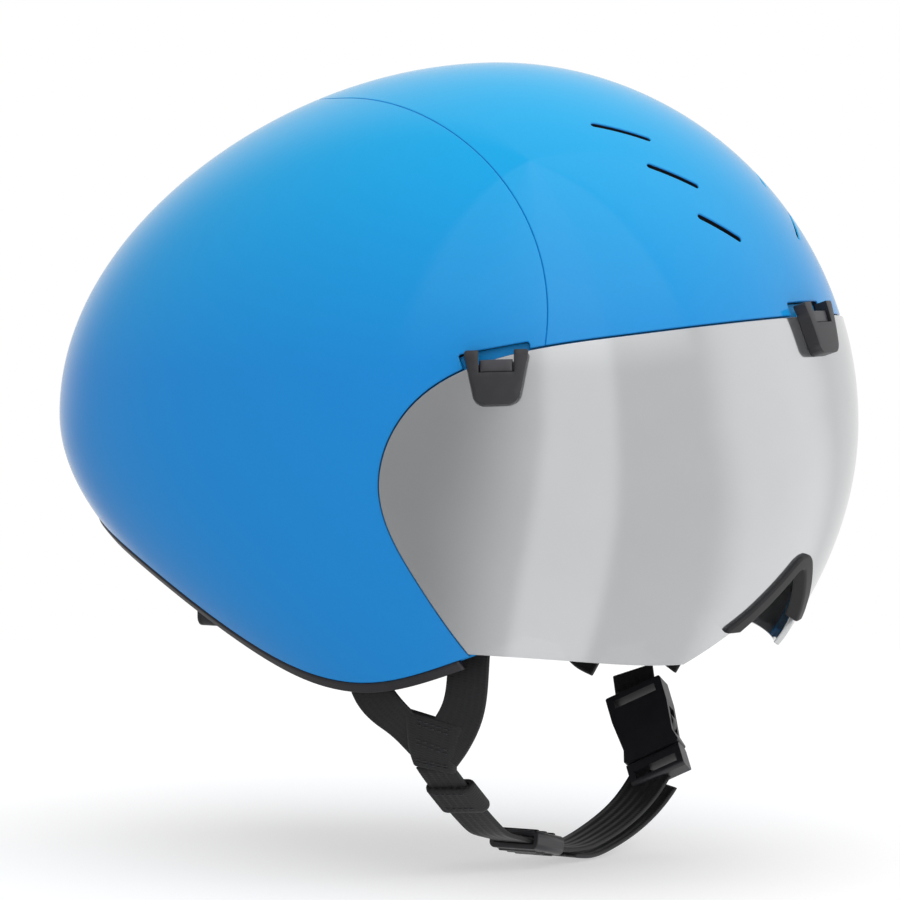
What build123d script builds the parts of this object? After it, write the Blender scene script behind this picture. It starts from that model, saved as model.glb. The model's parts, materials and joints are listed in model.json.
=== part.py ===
from build123d import *
import math
import os

os.makedirs("parts", exist_ok=True)

# Aero time trial helmet in millimetres. The wearer faces -Y, the wearer's left is +X and up is +Z.
# The origin is on the crown axis, at the level where the shell is widest.

# Shell form
half_width = 106.0
front_reach = 120.0
rear_reach = 163.0
crown_height = 119.0
rear_crown_share = 0.123
side_tuck = 168.0
front_tuck = 161.0
rear_tuck = 109.0
dome_foot_share = 0.78
tuck_shares = (1.0, 0.72, 0.45, 0.2)
arch_angles = (0, 13, 26, 39, 52, 64, 74, 82)
plan_steps = 16
shell_wall = 1.8
bond_line = 0.2
seam_gap = 0.4
overrun = 60.0
normal_step = 0.25

# Side view curves: shares of the front or rear reach, and of the crown height
opening_shares = [(-0.95, 0.312), (-0.71, 0.272), (-0.37, 0.188), (-0.225, 0.085),
                  (-0.133, -0.150), (-0.205, -0.375), (-0.305, -0.600), (-0.40, -0.80)]
rim_shares = [(-0.60, -0.47), (-0.27, -0.597), (0.0, -0.672), (0.30, -0.598), (0.65, -0.372),
              (1.0, -0.235)]
liner_edge_shares = [(-0.86, 0.135), (-0.56, 0.100), (-0.35, -0.02), (-0.27, -0.17),
                     (-0.34, -0.36), (-0.43, -0.62)]

# Seam between the front and rear shells
seam_centre_share = 0.22
seam_level = 107.0
seam_base = 30.0
seam_radius = 102.0

# Visor seat and magnets
seat_overlap = 4.0
seat_wall = 1.6
seat_gap = 0.5
magnet_radius = 3.5
magnet_height = 1.6
magnet_sink = 0.9
fit_gap = 0.1

# Louvre slots: shares of the crown height, and degrees from the front, at both ends
slot_levels = [(0.823, 0.781), (0.714, 0.655), (0.580, 0.513)]
slot_angles = [(38.0, 22.0), (29.0, 17.5), (22.5, 13.3)]
slot_width = 2.0

# Lower trim
trim_height = 3.2
trim_proud = 0.5
trim_depth = 3.0

# Foam liner and head cavity
cavity_half_width = 77.0
cavity_front = 99.0
cavity_rear = 101.0
cavity_height = 94.0
foam_hem = 1.5
foam_split_level = 40.0
duct_width = 7.0

# Pads
pad_thickness = 6.0
soft_gap = 0.3
brow_pad_low = 18.0
brow_pad_tall = 20.0
brow_pad_half = 62.0
crown_pad_half = 12.0
crown_pad_base = 62.0
side_pad_offset = 44.0
side_pad_base = 40.0

# Visor
lens_proud = 0.7
lens_wall = 2.0
lens_gap = 0.6
lens_foot_shares = [(-0.20, -0.572), (-0.55, -0.597), (-0.72, -0.617), (-0.90, -0.60)]
nose_apex = 41.0
nose_half = 21.0
nose_depth = 62.0
nose_flare = 36.0
nose_flare_depth = 75.0
nose_round = 5.0
seal_lip = 1.2
seal_cover = 3.6
seal_thickness = 1.5

# Clips on the visor
clip_width = 20.0
clip_foot = 13.0
clip_tall = 17.0
clip_rise = 3.0
clip_thickness = 4.2
clip_gap = 0.2
clip_tab_width = 11.0
clip_tab_tall = 7.0
clip_tab_drop = 0.9
clip_edge = 0.8
clip_foot_round = 4.0
side_clip_angle = 66.0
side_clip_share = 0.203
side_clip_tilt = 11.0
clip_wall = 0.6
magnet_place_share = 0.68
notch_margin = 1.4

# Rear cradle
pivot_reach = 10.0
pivot_level = 22.0
pin_radius = 2.5
pin_head_radius = 4.2
pin_head_height = 1.6
pin_bite = 5.0
running_gap = 0.05
arm_gap = 2.4
arm_wall = 1.6
arm_tall = 12.0
eye_radius = 7.5
housing_level = 62.0
housing_half = 26.0
housing_depth = 9.0
housing_wall = 1.6
cover_wall = 1.6
move_gap = 0.4

# Fit dial and racks
dial_radius = 12.0
dial_depth = 7.5
dial_lobes = 16
dial_lobe_radius = 1.1
dial_shaft_radius = 2.0
cap_radius = 5.0
cap_height = 1.0
pinion_teeth = 10
pinion_module = 0.9
addendum_share = 0.8
pressure_angle = 25.0
gear_backlash = 0.12
rack_teeth = 10
rack_lead_teeth = 3
rack_back = 2.2
rack_thickness = 3.6
rack_travel = 8.0
boss_width = 6.0
wing_inner = 13.0
wing_outer = 44.0
wing_tall = 26.0
wing_wall = 2.0
wing_clear = 3.0
wing_pad_thickness = 3.0
wing_half_width = 66.0

# Webbing
webbing_width = 15.0
webbing_thickness = 1.5
webbing_gap = 0.4
strap_drop = 142.0
anchor_length = 19.0
anchor_wall = 1.8
anchor_tall = 9.0

# Strap routes: shares of the half width, the front reach and the strap drop
right_front_shares = [(-0.690, -0.262, 0.440), (-0.690, -0.255, 0.530), (-0.683, -0.235, 0.620),
                      (-0.672, -0.212, 0.672)]
right_rear_shares = [(-0.715, 0.050, 0.495), (-0.705, 0.030, 0.590), (-0.686, -0.020, 0.640),
                     (-0.655, -0.055, 0.675)]
left_front_shares = [(0.690, -0.250, 0.440), (0.690, -0.235, 0.540), (0.688, -0.195, 0.605)]
left_rear_shares = [(0.715, 0.090, 0.495), (0.705, 0.075, 0.570), (0.690, -0.005, 0.605)]
sewn_shares = [(-0.657, -0.132, 0.689), (-0.625, -0.115, 0.730), (-0.597, -0.106, 0.758)]
chin_shares = [(-0.595, -0.105, 0.762), (-0.385, -0.140, 0.910), (-0.345, -0.147, 0.931),
               (-0.285, -0.155, 0.946), (0.005, -0.190, 0.999), (0.080, -0.200, 0.999),
               (0.170, -0.215, 0.985), (0.300, -0.245, 0.945), (0.400, -0.262, 0.900)]
tail_shares = [(0.010, -0.190, 1.014), (0.080, -0.202, 1.020), (0.180, -0.217, 1.010),
               (0.320, -0.247, 0.972), (0.425, -0.275, 0.922)]
buckle_strap_shares = [(0.640, -0.130, 0.630)]
buckle_mouth_shares = (0.490, -0.272, 0.818)
buckle_top_shares = (0.622, -0.139, 0.652)

# Straps' plastic pieces
keeper_wall = 1.6
keeper_length = 12.0
keeper_share = 0.5
slider_length = 15.0
slider_share = 0.45
slider_wall = 2.0
slider_rib = 0.7
slider_rib_shares = (-0.3, 0, 0.3)
along_share = 0.99
sewn_thickness = 3.2

# Side release buckle
buckle_width = 21.0
buckle_waist = 18.6
buckle_body = 22.0
buckle_thickness = 7.0
buckle_wall = 1.5
buckle_bar = 2.2
buckle_slot = 3.0
bar_clear = 1.3
window_low = 5.0
window_high = 15.0
prong_width = 2.6
prong_gap = 0.35
tab_proud = 0.9
guide_width = 3.0
male_base = 9.5
male_width = 20.0


def side_point(y_share, z_share, grow=0.0):
    reach = front_reach if y_share < 0 else rear_reach
    return (y_share * reach, z_share * crown_height + grow)


def side_points(shares, grow=0.0):
    return [side_point(y_share, z_share, grow) for y_share, z_share in shares]


def shifted(points, distance):
    """Points moved to the left of their run by a distance."""
    moved = []
    last = len(points) - 1
    for i, (a, b) in enumerate(points):
        before = points[max(i - 1, 0)]
        after = points[min(i + 1, last)]
        across_run = after[0] - before[0]
        up_run = after[1] - before[1]
        share = distance / math.hypot(across_run, up_run)
        moved.append((a - share * up_run, b + share * across_run))
    return moved


def side_prism(outline):
    """A closed run of side view edges, cut right across the helmet."""
    return extrude(Plane.YZ * make_face(outline), amount=half_width + overrun, both=True)


def closed(curve_points, corners):
    """A spline through the points, closed by straight runs over the corners."""
    curve = Spline(*curve_points)
    return [curve, Polyline(curve_points[-1], *corners, curve_points[0])]


def level_shares(height, crown):
    if height >= 0:
        arch = math.sqrt(max(0.0, 1 - (height / crown) ** 2))
        return arch, arch, arch * (1 - rear_crown_share * (height / crown) ** 2)
    return 1 - (height / side_tuck) ** 2, 1 - (height / front_tuck) ** 2, 1 - (height / rear_tuck) ** 2


def egg_point(side, front, rear, angle):
    """A point on an egg shaped plan curve, by its angle from the front."""
    turn = math.radians(angle)
    mean = (front + rear) / 2
    lean = (rear - front) / 2
    return (side * math.sin(turn), -mean * math.cos(turn) + lean * math.cos(turn) ** 2)


def shell_point(inset, height, angle):
    side, front, rear = level_shares(height, crown_height - inset)
    reaches = ((half_width - inset) * side, (front_reach - inset) * front, (rear_reach - inset) * rear)
    x, y = egg_point(*reaches, angle)
    return Vector(x, y, height)


def outward(height, angle):
    """The direction straight out of the shell, from two short steps along it."""
    up = shell_point(0, height + normal_step, angle) - shell_point(0, height - normal_step, angle)
    around = shell_point(0, height, angle + 1) - shell_point(0, height, angle - 1)
    return around.cross(up).normalized()


def plan_face(side, front, rear, height):
    points = [Vector(*egg_point(side, front, rear, 360 * i / plan_steps)) for i in range(plan_steps)]
    parameters = [i / plan_steps for i in range(plan_steps + 1)]
    curve = Edge.make_spline(points, periodic=True, parameters=parameters)
    return Plane.XY.offset(height) * make_face(curve)


def dome(side, front, rear, crown, foot):
    """A closed egg shaped dome that tucks in below its widest level."""
    heights = [-foot * share for share in tuck_shares if foot > 0]
    heights += [crown * math.sin(math.radians(angle)) for angle in arch_angles]
    rings = []
    for height in heights:
        side_share, front_share, rear_share = level_shares(height, crown)
        rings.append(plan_face(side * side_share, front * front_share, rear * rear_share, height))
    return loft(rings + [Vertex(0, 0, crown)])


def shell_dome(inset):
    foot = crown_height * dome_foot_share
    return dome(half_width - inset, front_reach - inset, rear_reach - inset, crown_height - inset, foot)


def cavity_dome(inset):
    reaches = (cavity_half_width - inset, cavity_front - inset, cavity_rear - inset)
    return dome(*reaches, cavity_height - inset, 0)


def cavity_face(inset, height):
    """The cavity's plan at one level."""
    side, front, rear = level_shares(height, cavity_height - inset)
    side_reach = (cavity_half_width - inset) * side
    return plan_face(side_reach, (cavity_front - inset) * front, (cavity_rear - inset) * rear, height)


def cavity_band(inset, low, top):
    """The cavity's form between two levels, with straight sides."""
    return loft([cavity_face(inset, low), cavity_face(inset, top)], ruled=True)


def cavity_well(inset):
    """The head's space: a dome over straight walls."""
    side = cavity_half_width - inset
    front = cavity_front - inset
    rear = cavity_rear - inset
    walls = extrude(plan_face(side, front, rear, 0), amount=-(crown_height + overrun))
    return cavity_dome(inset) + walls


def shell_skin(outer_inset, inner_inset):
    """The wall between two domes with their feet at one level, open at the foot."""
    return shell_dome(outer_inset) - shell_dome(inner_inset)


def plane_box(plane, size, offset=(0, 0, 0)):
    """A box on a plane, with its middle at an offset along the plane's own axes."""
    return plane * Pos(*offset) * Box(*size)


def span_box(low, high_corner):
    middle = [(a + b) / 2 for a, b in zip(low, high_corner)]
    return Pos(*middle) * Box(*[b - a for a, b in zip(low, high_corner)])


def mirrored(solid):
    return mirror(solid, about=Plane.YZ)


def save(name, *solids):
    shape = solids[0] if len(solids) == 1 else Compound(children=list(solids))
    export_step(shape, "parts/" + name + ".step")
    low = shape.bounding_box().min
    top = shape.bounding_box().max
    corners = [round(value, 1) for value in (low.X, low.Y, low.Z, top.X, top.Y, top.Z)]
    print(name, len(shape.solids()), "solid(s), corners", corners)


# Side view regions
far = front_reach + overrun
high = crown_height + overrun
opening_curve = side_points(opening_shares)


def opening_region(inset=0.0):
    curve = shifted(opening_curve, -inset)
    return side_prism(closed(curve, [(-far, -high), (-far, curve[0][1])]))


def above_rim(lift=0.0):
    curve = shifted(side_points(rim_shares), lift)
    first = curve[0]
    last = curve[-1]
    ends = [(last[0] + overrun, last[1] + lift), (last[0] + overrun, high), (-far, high), (-far, first[1])]
    return side_prism(closed(curve, ends))


def behind_liner_edge():
    curve = side_points(liner_edge_shares)
    back = rear_reach + overrun
    ends = [(curve[-1][0], -high), (back, -high), (back, high), (-far, high), (-far, curve[0][1])]
    return side_prism(closed(curve, ends))


def ahead_of_seam(gap=0.0):
    centre = seam_centre_share * rear_reach
    low_end = (centre - seam_radius - gap, seam_base)
    top = (centre, seam_level + gap)
    rise = seam_level - seam_base
    arch = EllipticalCenterArc((centre, seam_base), seam_radius + gap, rise + gap, 90, arc_size=90)
    corners = [(far, seam_level + gap), (far, high), (-far, high), (-far, -high), (low_end[0], -high)]
    return side_prism([arch, Polyline(top, *corners, low_end)])


# Clip places: level of a clip's top edge, its angle in plan and its tilt along the opening
side_clip_level = side_point(0, side_clip_share)[1]
centre_clip_level = side_point(0, opening_shares[0][1])[1]


def clip_plane(side):
    """A plane on the shell at a clip's top edge, with its own Y up the shell."""
    angle = side * side_clip_angle
    level = side_clip_level if side else centre_clip_level
    normal = outward(level, angle)
    flat = Vector(0, 0, 1).cross(normal).normalized()
    plane = Plane(origin=shell_point(0, level, angle), x_dir=flat, z_dir=normal)
    return plane.rotated((0, 0, -side * side_clip_tilt))


def clip_face(grow=0.0):
    half = clip_width / 2 + grow
    foot = clip_foot / 2 + grow
    top = clip_rise + grow
    low = clip_rise - clip_tall - grow
    corners = [(-half, top), (half, top), (foot, low), (-foot, low)]
    shape = make_face(Polyline(*corners, corners[0]))
    shape = fillet(shape.vertices().filter_by(lambda corner: corner.Y > 0), clip_edge)
    feet = shape.vertices().filter_by(lambda corner: corner.Y < low + clip_edge)
    return fillet(feet, clip_foot_round + grow)


def through(plane, face, depth):
    """A prism from a face drawn on a plane, both ways through it."""
    return extrude(plane * face, amount=depth, both=True)


sides = {"right": -1, "centre": 0, "left": 1}
clip_planes = {name: clip_plane(side) for name, side in sides.items()}
magnet_drop = clip_rise - clip_tall * magnet_place_share
clip_depth = clip_thickness * 2


def magnet_at(plane, radius, low, top):
    return plane * Pos(0, magnet_drop, (low + top) / 2) * Cylinder(radius, top - low)


# Louvre slots and the ducts under them
def slot_plane(levels, angles):
    first = shell_point(0, levels[0] * crown_height, angles[0])
    last = shell_point(0, levels[1] * crown_height, angles[1])
    normal = outward(sum(levels) / 2 * crown_height, sum(angles) / 2)
    plane = Plane(origin=(first + last) / 2, x_dir=(last - first).normalized(), z_dir=normal)
    return plane, (last - first).length


def louvre(levels, angles):
    plane, length = slot_plane(levels, angles)
    return through(plane, SlotOverall(length, slot_width), slot_width * 3)


def duct(levels, angles):
    plane, length = slot_plane(levels, angles)
    depth = crown_height - cavity_height + duct_width
    return plane_box(plane, (length, duct_width, depth), (0, 0, -depth / 2))


left_slots = [louvre(*place) for place in zip(slot_levels, slot_angles)]
left_ducts = [duct(*place) for place in zip(slot_levels, slot_angles)]
slots = left_slots + [mirrored(slot) for slot in left_slots]
ducts = left_ducts + [mirrored(one) for one in left_ducts]
notches = [through(plane, clip_face(notch_margin), shell_wall * 4) for plane in clip_planes.values()]

# Shells
shell = (shell_skin(0, shell_wall) & above_rim()) - opening_region()
front_shell = shell & ahead_of_seam(seam_gap)
rear_shell = shell - ahead_of_seam()
front_shell -= slots + notches
rear_shell -= notches
save("front_shell", front_shell)
save("rear_shell", rear_shell)

# Visor seat, a ledge bonded under both shells, with its magnets
seat_top = shell_wall + fit_gap
seat_foot = seat_top + seat_wall
visor_seat = shell_skin(seat_top, seat_foot) & opening_region(-seat_overlap)
visor_seat = visor_seat & behind_liner_edge() & above_rim()
seat_holes = [magnet_at(plane, magnet_radius + fit_gap, -clip_depth, clip_depth)
              for plane in clip_planes.values()]
visor_seat -= seat_holes
save("visor_seat", visor_seat)
seat_magnet_top = -seat_top - magnet_sink
for name, plane in clip_planes.items():
    magnet = magnet_at(plane, magnet_radius, seat_magnet_top - magnet_height, seat_magnet_top)
    save("seat_magnet_" + name, magnet)

# Lower trim
trim = shell_skin(-trim_proud, trim_depth) & above_rim(-trim_height)
trim = trim - above_rim() - opening_region(-seat_overlap)
save("lower_trim", trim)


# Strap stations
def strap_point(share):
    return Vector(share[0] * half_width, share[1] * front_reach, -share[2] * strap_drop)


def across(along):
    """The direction of the webbing's width: towards the wearer's front, square to its run."""
    front = Vector(0, -1, 0)
    return (front - along * front.dot(along)).normalized()


def strap_plane(points, i):
    along = (points[min(i + 1, len(points) - 1)] - points[max(i - 1, 0)]).normalized()
    return Plane(origin=points[i], x_dir=across(along), z_dir=along)


def webbing(points, width=webbing_width, thickness=webbing_thickness, last_along=None):
    """A flat band through the points; its last end can be cut square to another run."""
    planes = [strap_plane(points, i) for i in range(len(points))]
    if last_along:
        planes[-1] = Plane(origin=points[-1], x_dir=across(last_along), z_dir=last_along)
    return loft([plane * Rectangle(width, thickness) for plane in planes], ruled=True)


straps = {
    "right_front": [strap_point(share) for share in right_front_shares],
    "right_rear": [strap_point(share) for share in right_rear_shares],
    "left_front": [strap_point(share) for share in left_front_shares],
    "left_rear": [strap_point(share) for share in left_rear_shares],
}

anchors = []
anchor_pockets = []
for name, points in straps.items():
    save("strap_" + name, webbing(points))
    plane = strap_plane(points, 0)
    slot = webbing(points, webbing_width + webbing_gap, webbing_thickness + webbing_gap)
    size = (anchor_length, webbing_thickness + anchor_wall * 2, anchor_tall)
    mouth_size = (webbing_width + webbing_gap, webbing_thickness + webbing_gap, anchor_tall)
    plug = plane_box(plane, size)
    anchors.append(plug - plane_box(plane, mouth_size, (0, 0, anchor_tall / 2 - fit_gap)))
    anchor_pockets.append(plane_box(plane, [length + fit_gap * 2 for length in size]) + slot)
save("strap_anchors", *anchors)

# Rear cradle: places
pivot = Vector(0, -pivot_reach, -pivot_level)
pitch_radius = pinion_module * pinion_teeth / 2
addendum = pinion_module * addendum_share
dedendum = pinion_module
rack_outer = pitch_radius + dedendum + rack_back
housing_tall = 2 * (rack_outer + move_gap + housing_wall)
housing_front = cavity_rear - housing_depth
cover_rear = cavity_rear + cover_wall
arm_side = cavity_half_width - arm_gap
housing_middle = (housing_front + cavity_rear) / 2


def wall_prism(side, front, rear, thickness):
    """An upright wall on an egg shaped plan."""
    base = -crown_height
    inner_face = plan_face(side - thickness, front - thickness, rear - thickness, base)
    outer_prism = extrude(plan_face(side, front, rear, base), amount=crown_height)
    return outer_prism - extrude(inner_face, amount=crown_height)


def cross_pin(radius, inner, outer, side):
    """A cylinder along X at the pivot, on one side."""
    middle = side * (inner + outer) / 2
    return Pos(middle, pivot.Y, pivot.Z) * Rot(0, 90, 0) * Cylinder(radius, outer - inner)


pin_seat = cavity_half_width + pin_bite
eye_front_share = (pivot_reach + eye_radius) / cavity_front
pin_face = arm_side * math.sqrt(1 - eye_front_share ** 2) - arm_wall - move_gap * 2
pins = []
pin_holes = []
for side in (-1, 1):
    pins.append(cross_pin(pin_radius, pin_face - pin_head_height, pin_seat, side)
                + cross_pin(pin_head_radius, pin_face - pin_head_height, pin_face, side))
    pin_holes.append(cross_pin(pin_radius + fit_gap, pin_face, pin_seat + fit_gap, side))
save("cradle_pins", *pins)

# Foam liner, in two mouldings bonded along a level joint
foam_skin = shell_wall + bond_line
seat_bed = seat_foot + fit_gap
bed_region = opening_region(-seat_overlap - move_gap)
foam = (shell_dome(foam_skin) - bed_region) + (shell_dome(seat_bed) & bed_region)
foam = foam & above_rim(foam_hem) & behind_liner_edge()
magnet_beds = [magnet_at(plane, magnet_radius + fit_gap, -seat_bed - magnet_height, 0)
               for plane in clip_planes.values()]
foam -= [cavity_well(0)] + ducts + anchor_pockets + pin_holes + magnet_beds
foam = foam.solids().sort_by(SortBy.VOLUME)[-1]
upper_half = span_box((-half_width, -far, foam_split_level), (half_width, rear_reach, high))
save("foam_liner_upper", foam & upper_half)
save("foam_liner_lower", foam - upper_half)

# Comfort pads against the foam
pad_skin = cavity_dome(soft_gap) - cavity_dome(soft_gap + pad_thickness)
far_pad = cavity_rear + overrun
brow_top = brow_pad_low + brow_pad_tall
crown_strip = span_box((-crown_pad_half, -far_pad, crown_pad_base),
                       (crown_pad_half, far_pad, cavity_height))
side_strip = span_box((side_pad_offset - crown_pad_half, -far_pad, side_pad_base),
                      (side_pad_offset + crown_pad_half, far_pad, cavity_height))
brow_band = cavity_band(soft_gap, brow_pad_low, brow_top)
brow_band -= cavity_band(soft_gap + pad_thickness, brow_pad_low, brow_top)
brow_pad = brow_band & span_box((-brow_pad_half, -far_pad, brow_pad_low), (brow_pad_half, 0, brow_top))
crown_side_pad = pad_skin & side_strip
save("brow_pad", brow_pad)
save("crown_pad", pad_skin & crown_strip)
save("crown_side_pad_left", crown_side_pad)
save("crown_side_pad_right", mirrored(crown_side_pad))

# Cradle arms
arm_wall_prism = wall_prism(arm_side, cavity_front, cavity_rear, arm_wall)
arm_half = arm_tall / 2
rear_level = -housing_level
strip = make_face(Polyline((pivot.Y, pivot.Z + arm_half), (housing_middle, rear_level + arm_half),
                           (far_pad, rear_level + arm_half), (far_pad, rear_level - arm_half),
                           (housing_middle, rear_level - arm_half), (pivot.Y, pivot.Z - arm_half),
                           (pivot.Y, pivot.Z + arm_half)))
arm_region = extrude(Plane.YZ * strip, amount=half_width)
arm_region += cross_pin(eye_radius, 0, half_width, 1)
arm_left = arm_wall_prism & arm_region
arm_left &= span_box((housing_half, -far_pad, -crown_height), (half_width, far_pad, 0))
arm_left -= cross_pin(pin_radius + running_gap, 0, half_width, 1)
save("cradle_arm_left", arm_left)
save("cradle_arm_right", mirrored(arm_left))

# Dial housing and cover
dial_axis = Plane(origin=(0, 0, rear_level), x_dir=(1, 0, 0), z_dir=(0, 1, 0))


def dial_disc(radius, low, top):
    return dial_axis * Pos(0, 0, (low + top) / 2) * Cylinder(radius, top - low)


half_tall = housing_tall / 2
housing = span_box((-housing_half, housing_front, rear_level - half_tall),
                   (housing_half, cavity_rear, rear_level + half_tall))
housing = fillet(housing.edges().filter_by(Axis.Y), housing_wall * 2)
inner_half = housing_half - housing_wall
inner_tall = half_tall - housing_wall
floor = housing_front + housing_wall
housing -= span_box((-inner_half, floor, rear_level - inner_tall),
                    (inner_half, cavity_rear, rear_level + inner_tall))
boss_low = pitch_radius + dedendum
boss_slot_low = wing_inner - rack_travel - move_gap
boss_slot_high = wing_inner + boss_width + move_gap
boss_slot = span_box((boss_slot_low, housing_front - overrun, rear_level + boss_low - move_gap),
                     (boss_slot_high, floor + move_gap, rear_level + rack_outer + move_gap))
half_turn = Rot(0, 180, 0)


def turned_over(solid):
    """The solid turned half way round the dial's axis."""
    return Pos(0, 0, rear_level) * half_turn * Pos(0, 0, -rear_level) * solid


housing -= [boss_slot, turned_over(boss_slot)]
save("dial_housing", housing)
cover = span_box((-housing_half, cavity_rear, rear_level - half_tall),
                 (housing_half, cover_rear, rear_level + half_tall))
cover = fillet(cover.edges().filter_by(Axis.Y), housing_wall * 2)
cover -= dial_disc(dial_shaft_radius + running_gap, housing_front, cover_rear + overrun)
save("housing_cover", cover)

# Fit dial, its cap and pinion
dial_front = cover_rear + move_gap
dial_back = dial_front + dial_depth
dial = dial_disc(dial_radius, dial_front, dial_back)
dial = chamfer(dial.edges().sort_by(Axis.Y)[-1], dial_lobe_radius)
groove = Cylinder(dial_lobe_radius, dial_depth * 2 - dial_lobe_radius * 2)
dial -= [dial_axis * Pos(0, 0, dial_back) * loc * groove for loc in PolarLocations(dial_radius, dial_lobes)]
pinion_low = floor + move_gap
pinion_high = pinion_low + rack_thickness
dial += dial_disc(dial_shaft_radius, pinion_low, dial_front + dial_lobe_radius)
dial -= dial_disc(cap_radius + fit_gap, dial_back - cap_height, dial_back)
save("fit_dial", dial)
save("dial_cap", dial_disc(cap_radius, dial_back - cap_height, dial_back))


def involute(base, radius):
    """The angle that an involute has turned at a radius."""
    rise = math.sqrt(max(0.0, (radius / base) ** 2 - 1))
    return rise - math.atan(rise)


def pinion_face():
    pressure = math.radians(pressure_angle)
    base = pitch_radius * math.cos(pressure)
    root = pitch_radius - dedendum
    tip = pitch_radius + addendum
    half_tooth = math.pi / 2 / pinion_teeth - gear_backlash / 2 / pitch_radius
    half_tooth += involute(base, pitch_radius)
    radii = [base, (base + tip) / 2, tip]
    outline = []
    for i in range(pinion_teeth):
        middle = math.pi / 2 + 2 * math.pi * i / pinion_teeth
        flank = [(root, half_tooth)] + [(radius, half_tooth - involute(base, radius)) for radius in radii]
        for radius, turn in flank:
            outline.append((radius * math.cos(middle - turn), radius * math.sin(middle - turn)))
        for radius, turn in reversed(flank):
            outline.append((radius * math.cos(middle + turn), radius * math.sin(middle + turn)))
    return make_face(Polyline(*outline, outline[0]))


pinion = extrude(dial_axis * Pos(0, 0, pinion_low) * pinion_face(), amount=rack_thickness)
pinion -= dial_disc(dial_shaft_radius, housing_front, cover_rear)
save("dial_pinion", pinion)


def rack_face():
    """Rack teeth over the pinion, with a gap between teeth at X = 0 and room to travel."""
    pitch = math.pi * pinion_module
    lean = math.tan(math.radians(pressure_angle))
    tooth = pitch / 4 - gear_backlash / 4
    outline = []
    for i in range(rack_teeth):
        middle = (i + 0.5 - rack_lead_teeth) * pitch
        outline.append((middle - tooth - dedendum * lean, pitch_radius + dedendum))
        outline.append((middle - tooth + addendum * lean, pitch_radius - addendum))
        outline.append((middle + tooth - addendum * lean, pitch_radius - addendum))
        outline.append((middle + tooth + dedendum * lean, pitch_radius + dedendum))
    start = outline[0][0] - tooth
    stop = outline[-1][0] + tooth
    corners = [(stop, pitch_radius + dedendum), (stop, rack_outer), (start, rack_outer),
               (start, pitch_radius + dedendum)]
    return Plane.XZ * make_face(Polyline(*outline, *corners, outline[0]))


# Racks with their wings: the left one runs above the pinion and the right one below it
wing_rear = housing_front - wing_clear
wing_band = wall_prism(wing_half_width, cavity_front, wing_rear, wing_wall)
wing_box = span_box((wing_inner, 0, rear_level - wing_tall / 2),
                    (wing_outer, far_pad, rear_level + wing_tall / 2))
wing = wing_band & wing_box
rack = extrude(Pos(0, pinion_low, rear_level) * rack_face(), amount=-rack_thickness)
boss = span_box((wing_inner, wing_rear - wing_clear - wing_wall / 2, rear_level + boss_low),
                (wing_inner + boss_width, pinion_low + rack_thickness / 2, rear_level + rack_outer))
rack_left = rack + boss + wing
wing_skin = wing_wall + fit_gap
pad_reaches = (wing_half_width - wing_skin, cavity_front - wing_skin, wing_rear - wing_skin)
pad_band = wall_prism(*pad_reaches, wing_pad_thickness)
pad_box = span_box((wing_inner + wing_wall, 0, rear_level - wing_tall / 2 + wing_wall),
                   (wing_outer - wing_wall, far_pad, rear_level + wing_tall / 2 - wing_wall))
wing_pad = pad_band & pad_box
save("rack_left", rack_left)
save("rack_right", turned_over(rack_left))
save("wing_pad_left", wing_pad)
save("wing_pad_right", turned_over(wing_pad))

# Visor lens
foot_curve = side_points(lens_foot_shares)
foot_ends = [(-far, foot_curve[-1][1]), (-far, high), (0, high), (0, foot_curve[0][1])]
above_foot = side_prism(closed(foot_curve, foot_ends))


def nose_face(grow=0.0):
    """The nose opening in front view, an upturned V that flares at its foot."""
    steep = math.hypot(nose_half, nose_depth - nose_apex) / nose_half
    lift = grow * steep
    flare = lift - nose_flare_depth
    side_foot = lift - nose_depth
    corners = [(0, lift - nose_apex), (nose_half, side_foot), (nose_flare, flare), (nose_flare, -high),
               (-nose_flare, -high), (-nose_flare, flare), (-nose_half, side_foot)]
    face = make_face(Polyline(*corners, corners[0]))
    rounded = face.vertices().filter_by(lambda corner: corner.Y > -high)
    return fillet(rounded, nose_round + grow)


def nose_prism(grow=0.0):
    return extrude(Plane.XZ * nose_face(grow), amount=front_reach + overrun)


lens_skin = shell_skin(-lens_proud, lens_wall - lens_proud)
lens_region = opening_region(lens_gap) & above_foot
lens = (lens_skin & lens_region) - nose_prism()
save("visor_lens", lens)

# Nose seal, a channel over the edge of the nose opening
seal_skin = shell_skin(-lens_proud - seal_thickness, lens_wall - lens_proud + seal_thickness)
seal_box = span_box((-nose_half, -far, -nose_depth - seal_lip), (nose_half, 0, 0))
seal = seal_skin & (nose_prism(seal_cover) & seal_box)
seal -= nose_prism(-seal_lip)
slot_skin = shell_skin(-lens_proud - running_gap, lens_wall - lens_proud + running_gap)
slot_piece = slot_skin & span_box((-half_width, -far, -nose_flare_depth), (half_width, 0, 0))
seal -= slot_piece - nose_prism(-running_gap)
save("nose_seal", seal)

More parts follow.
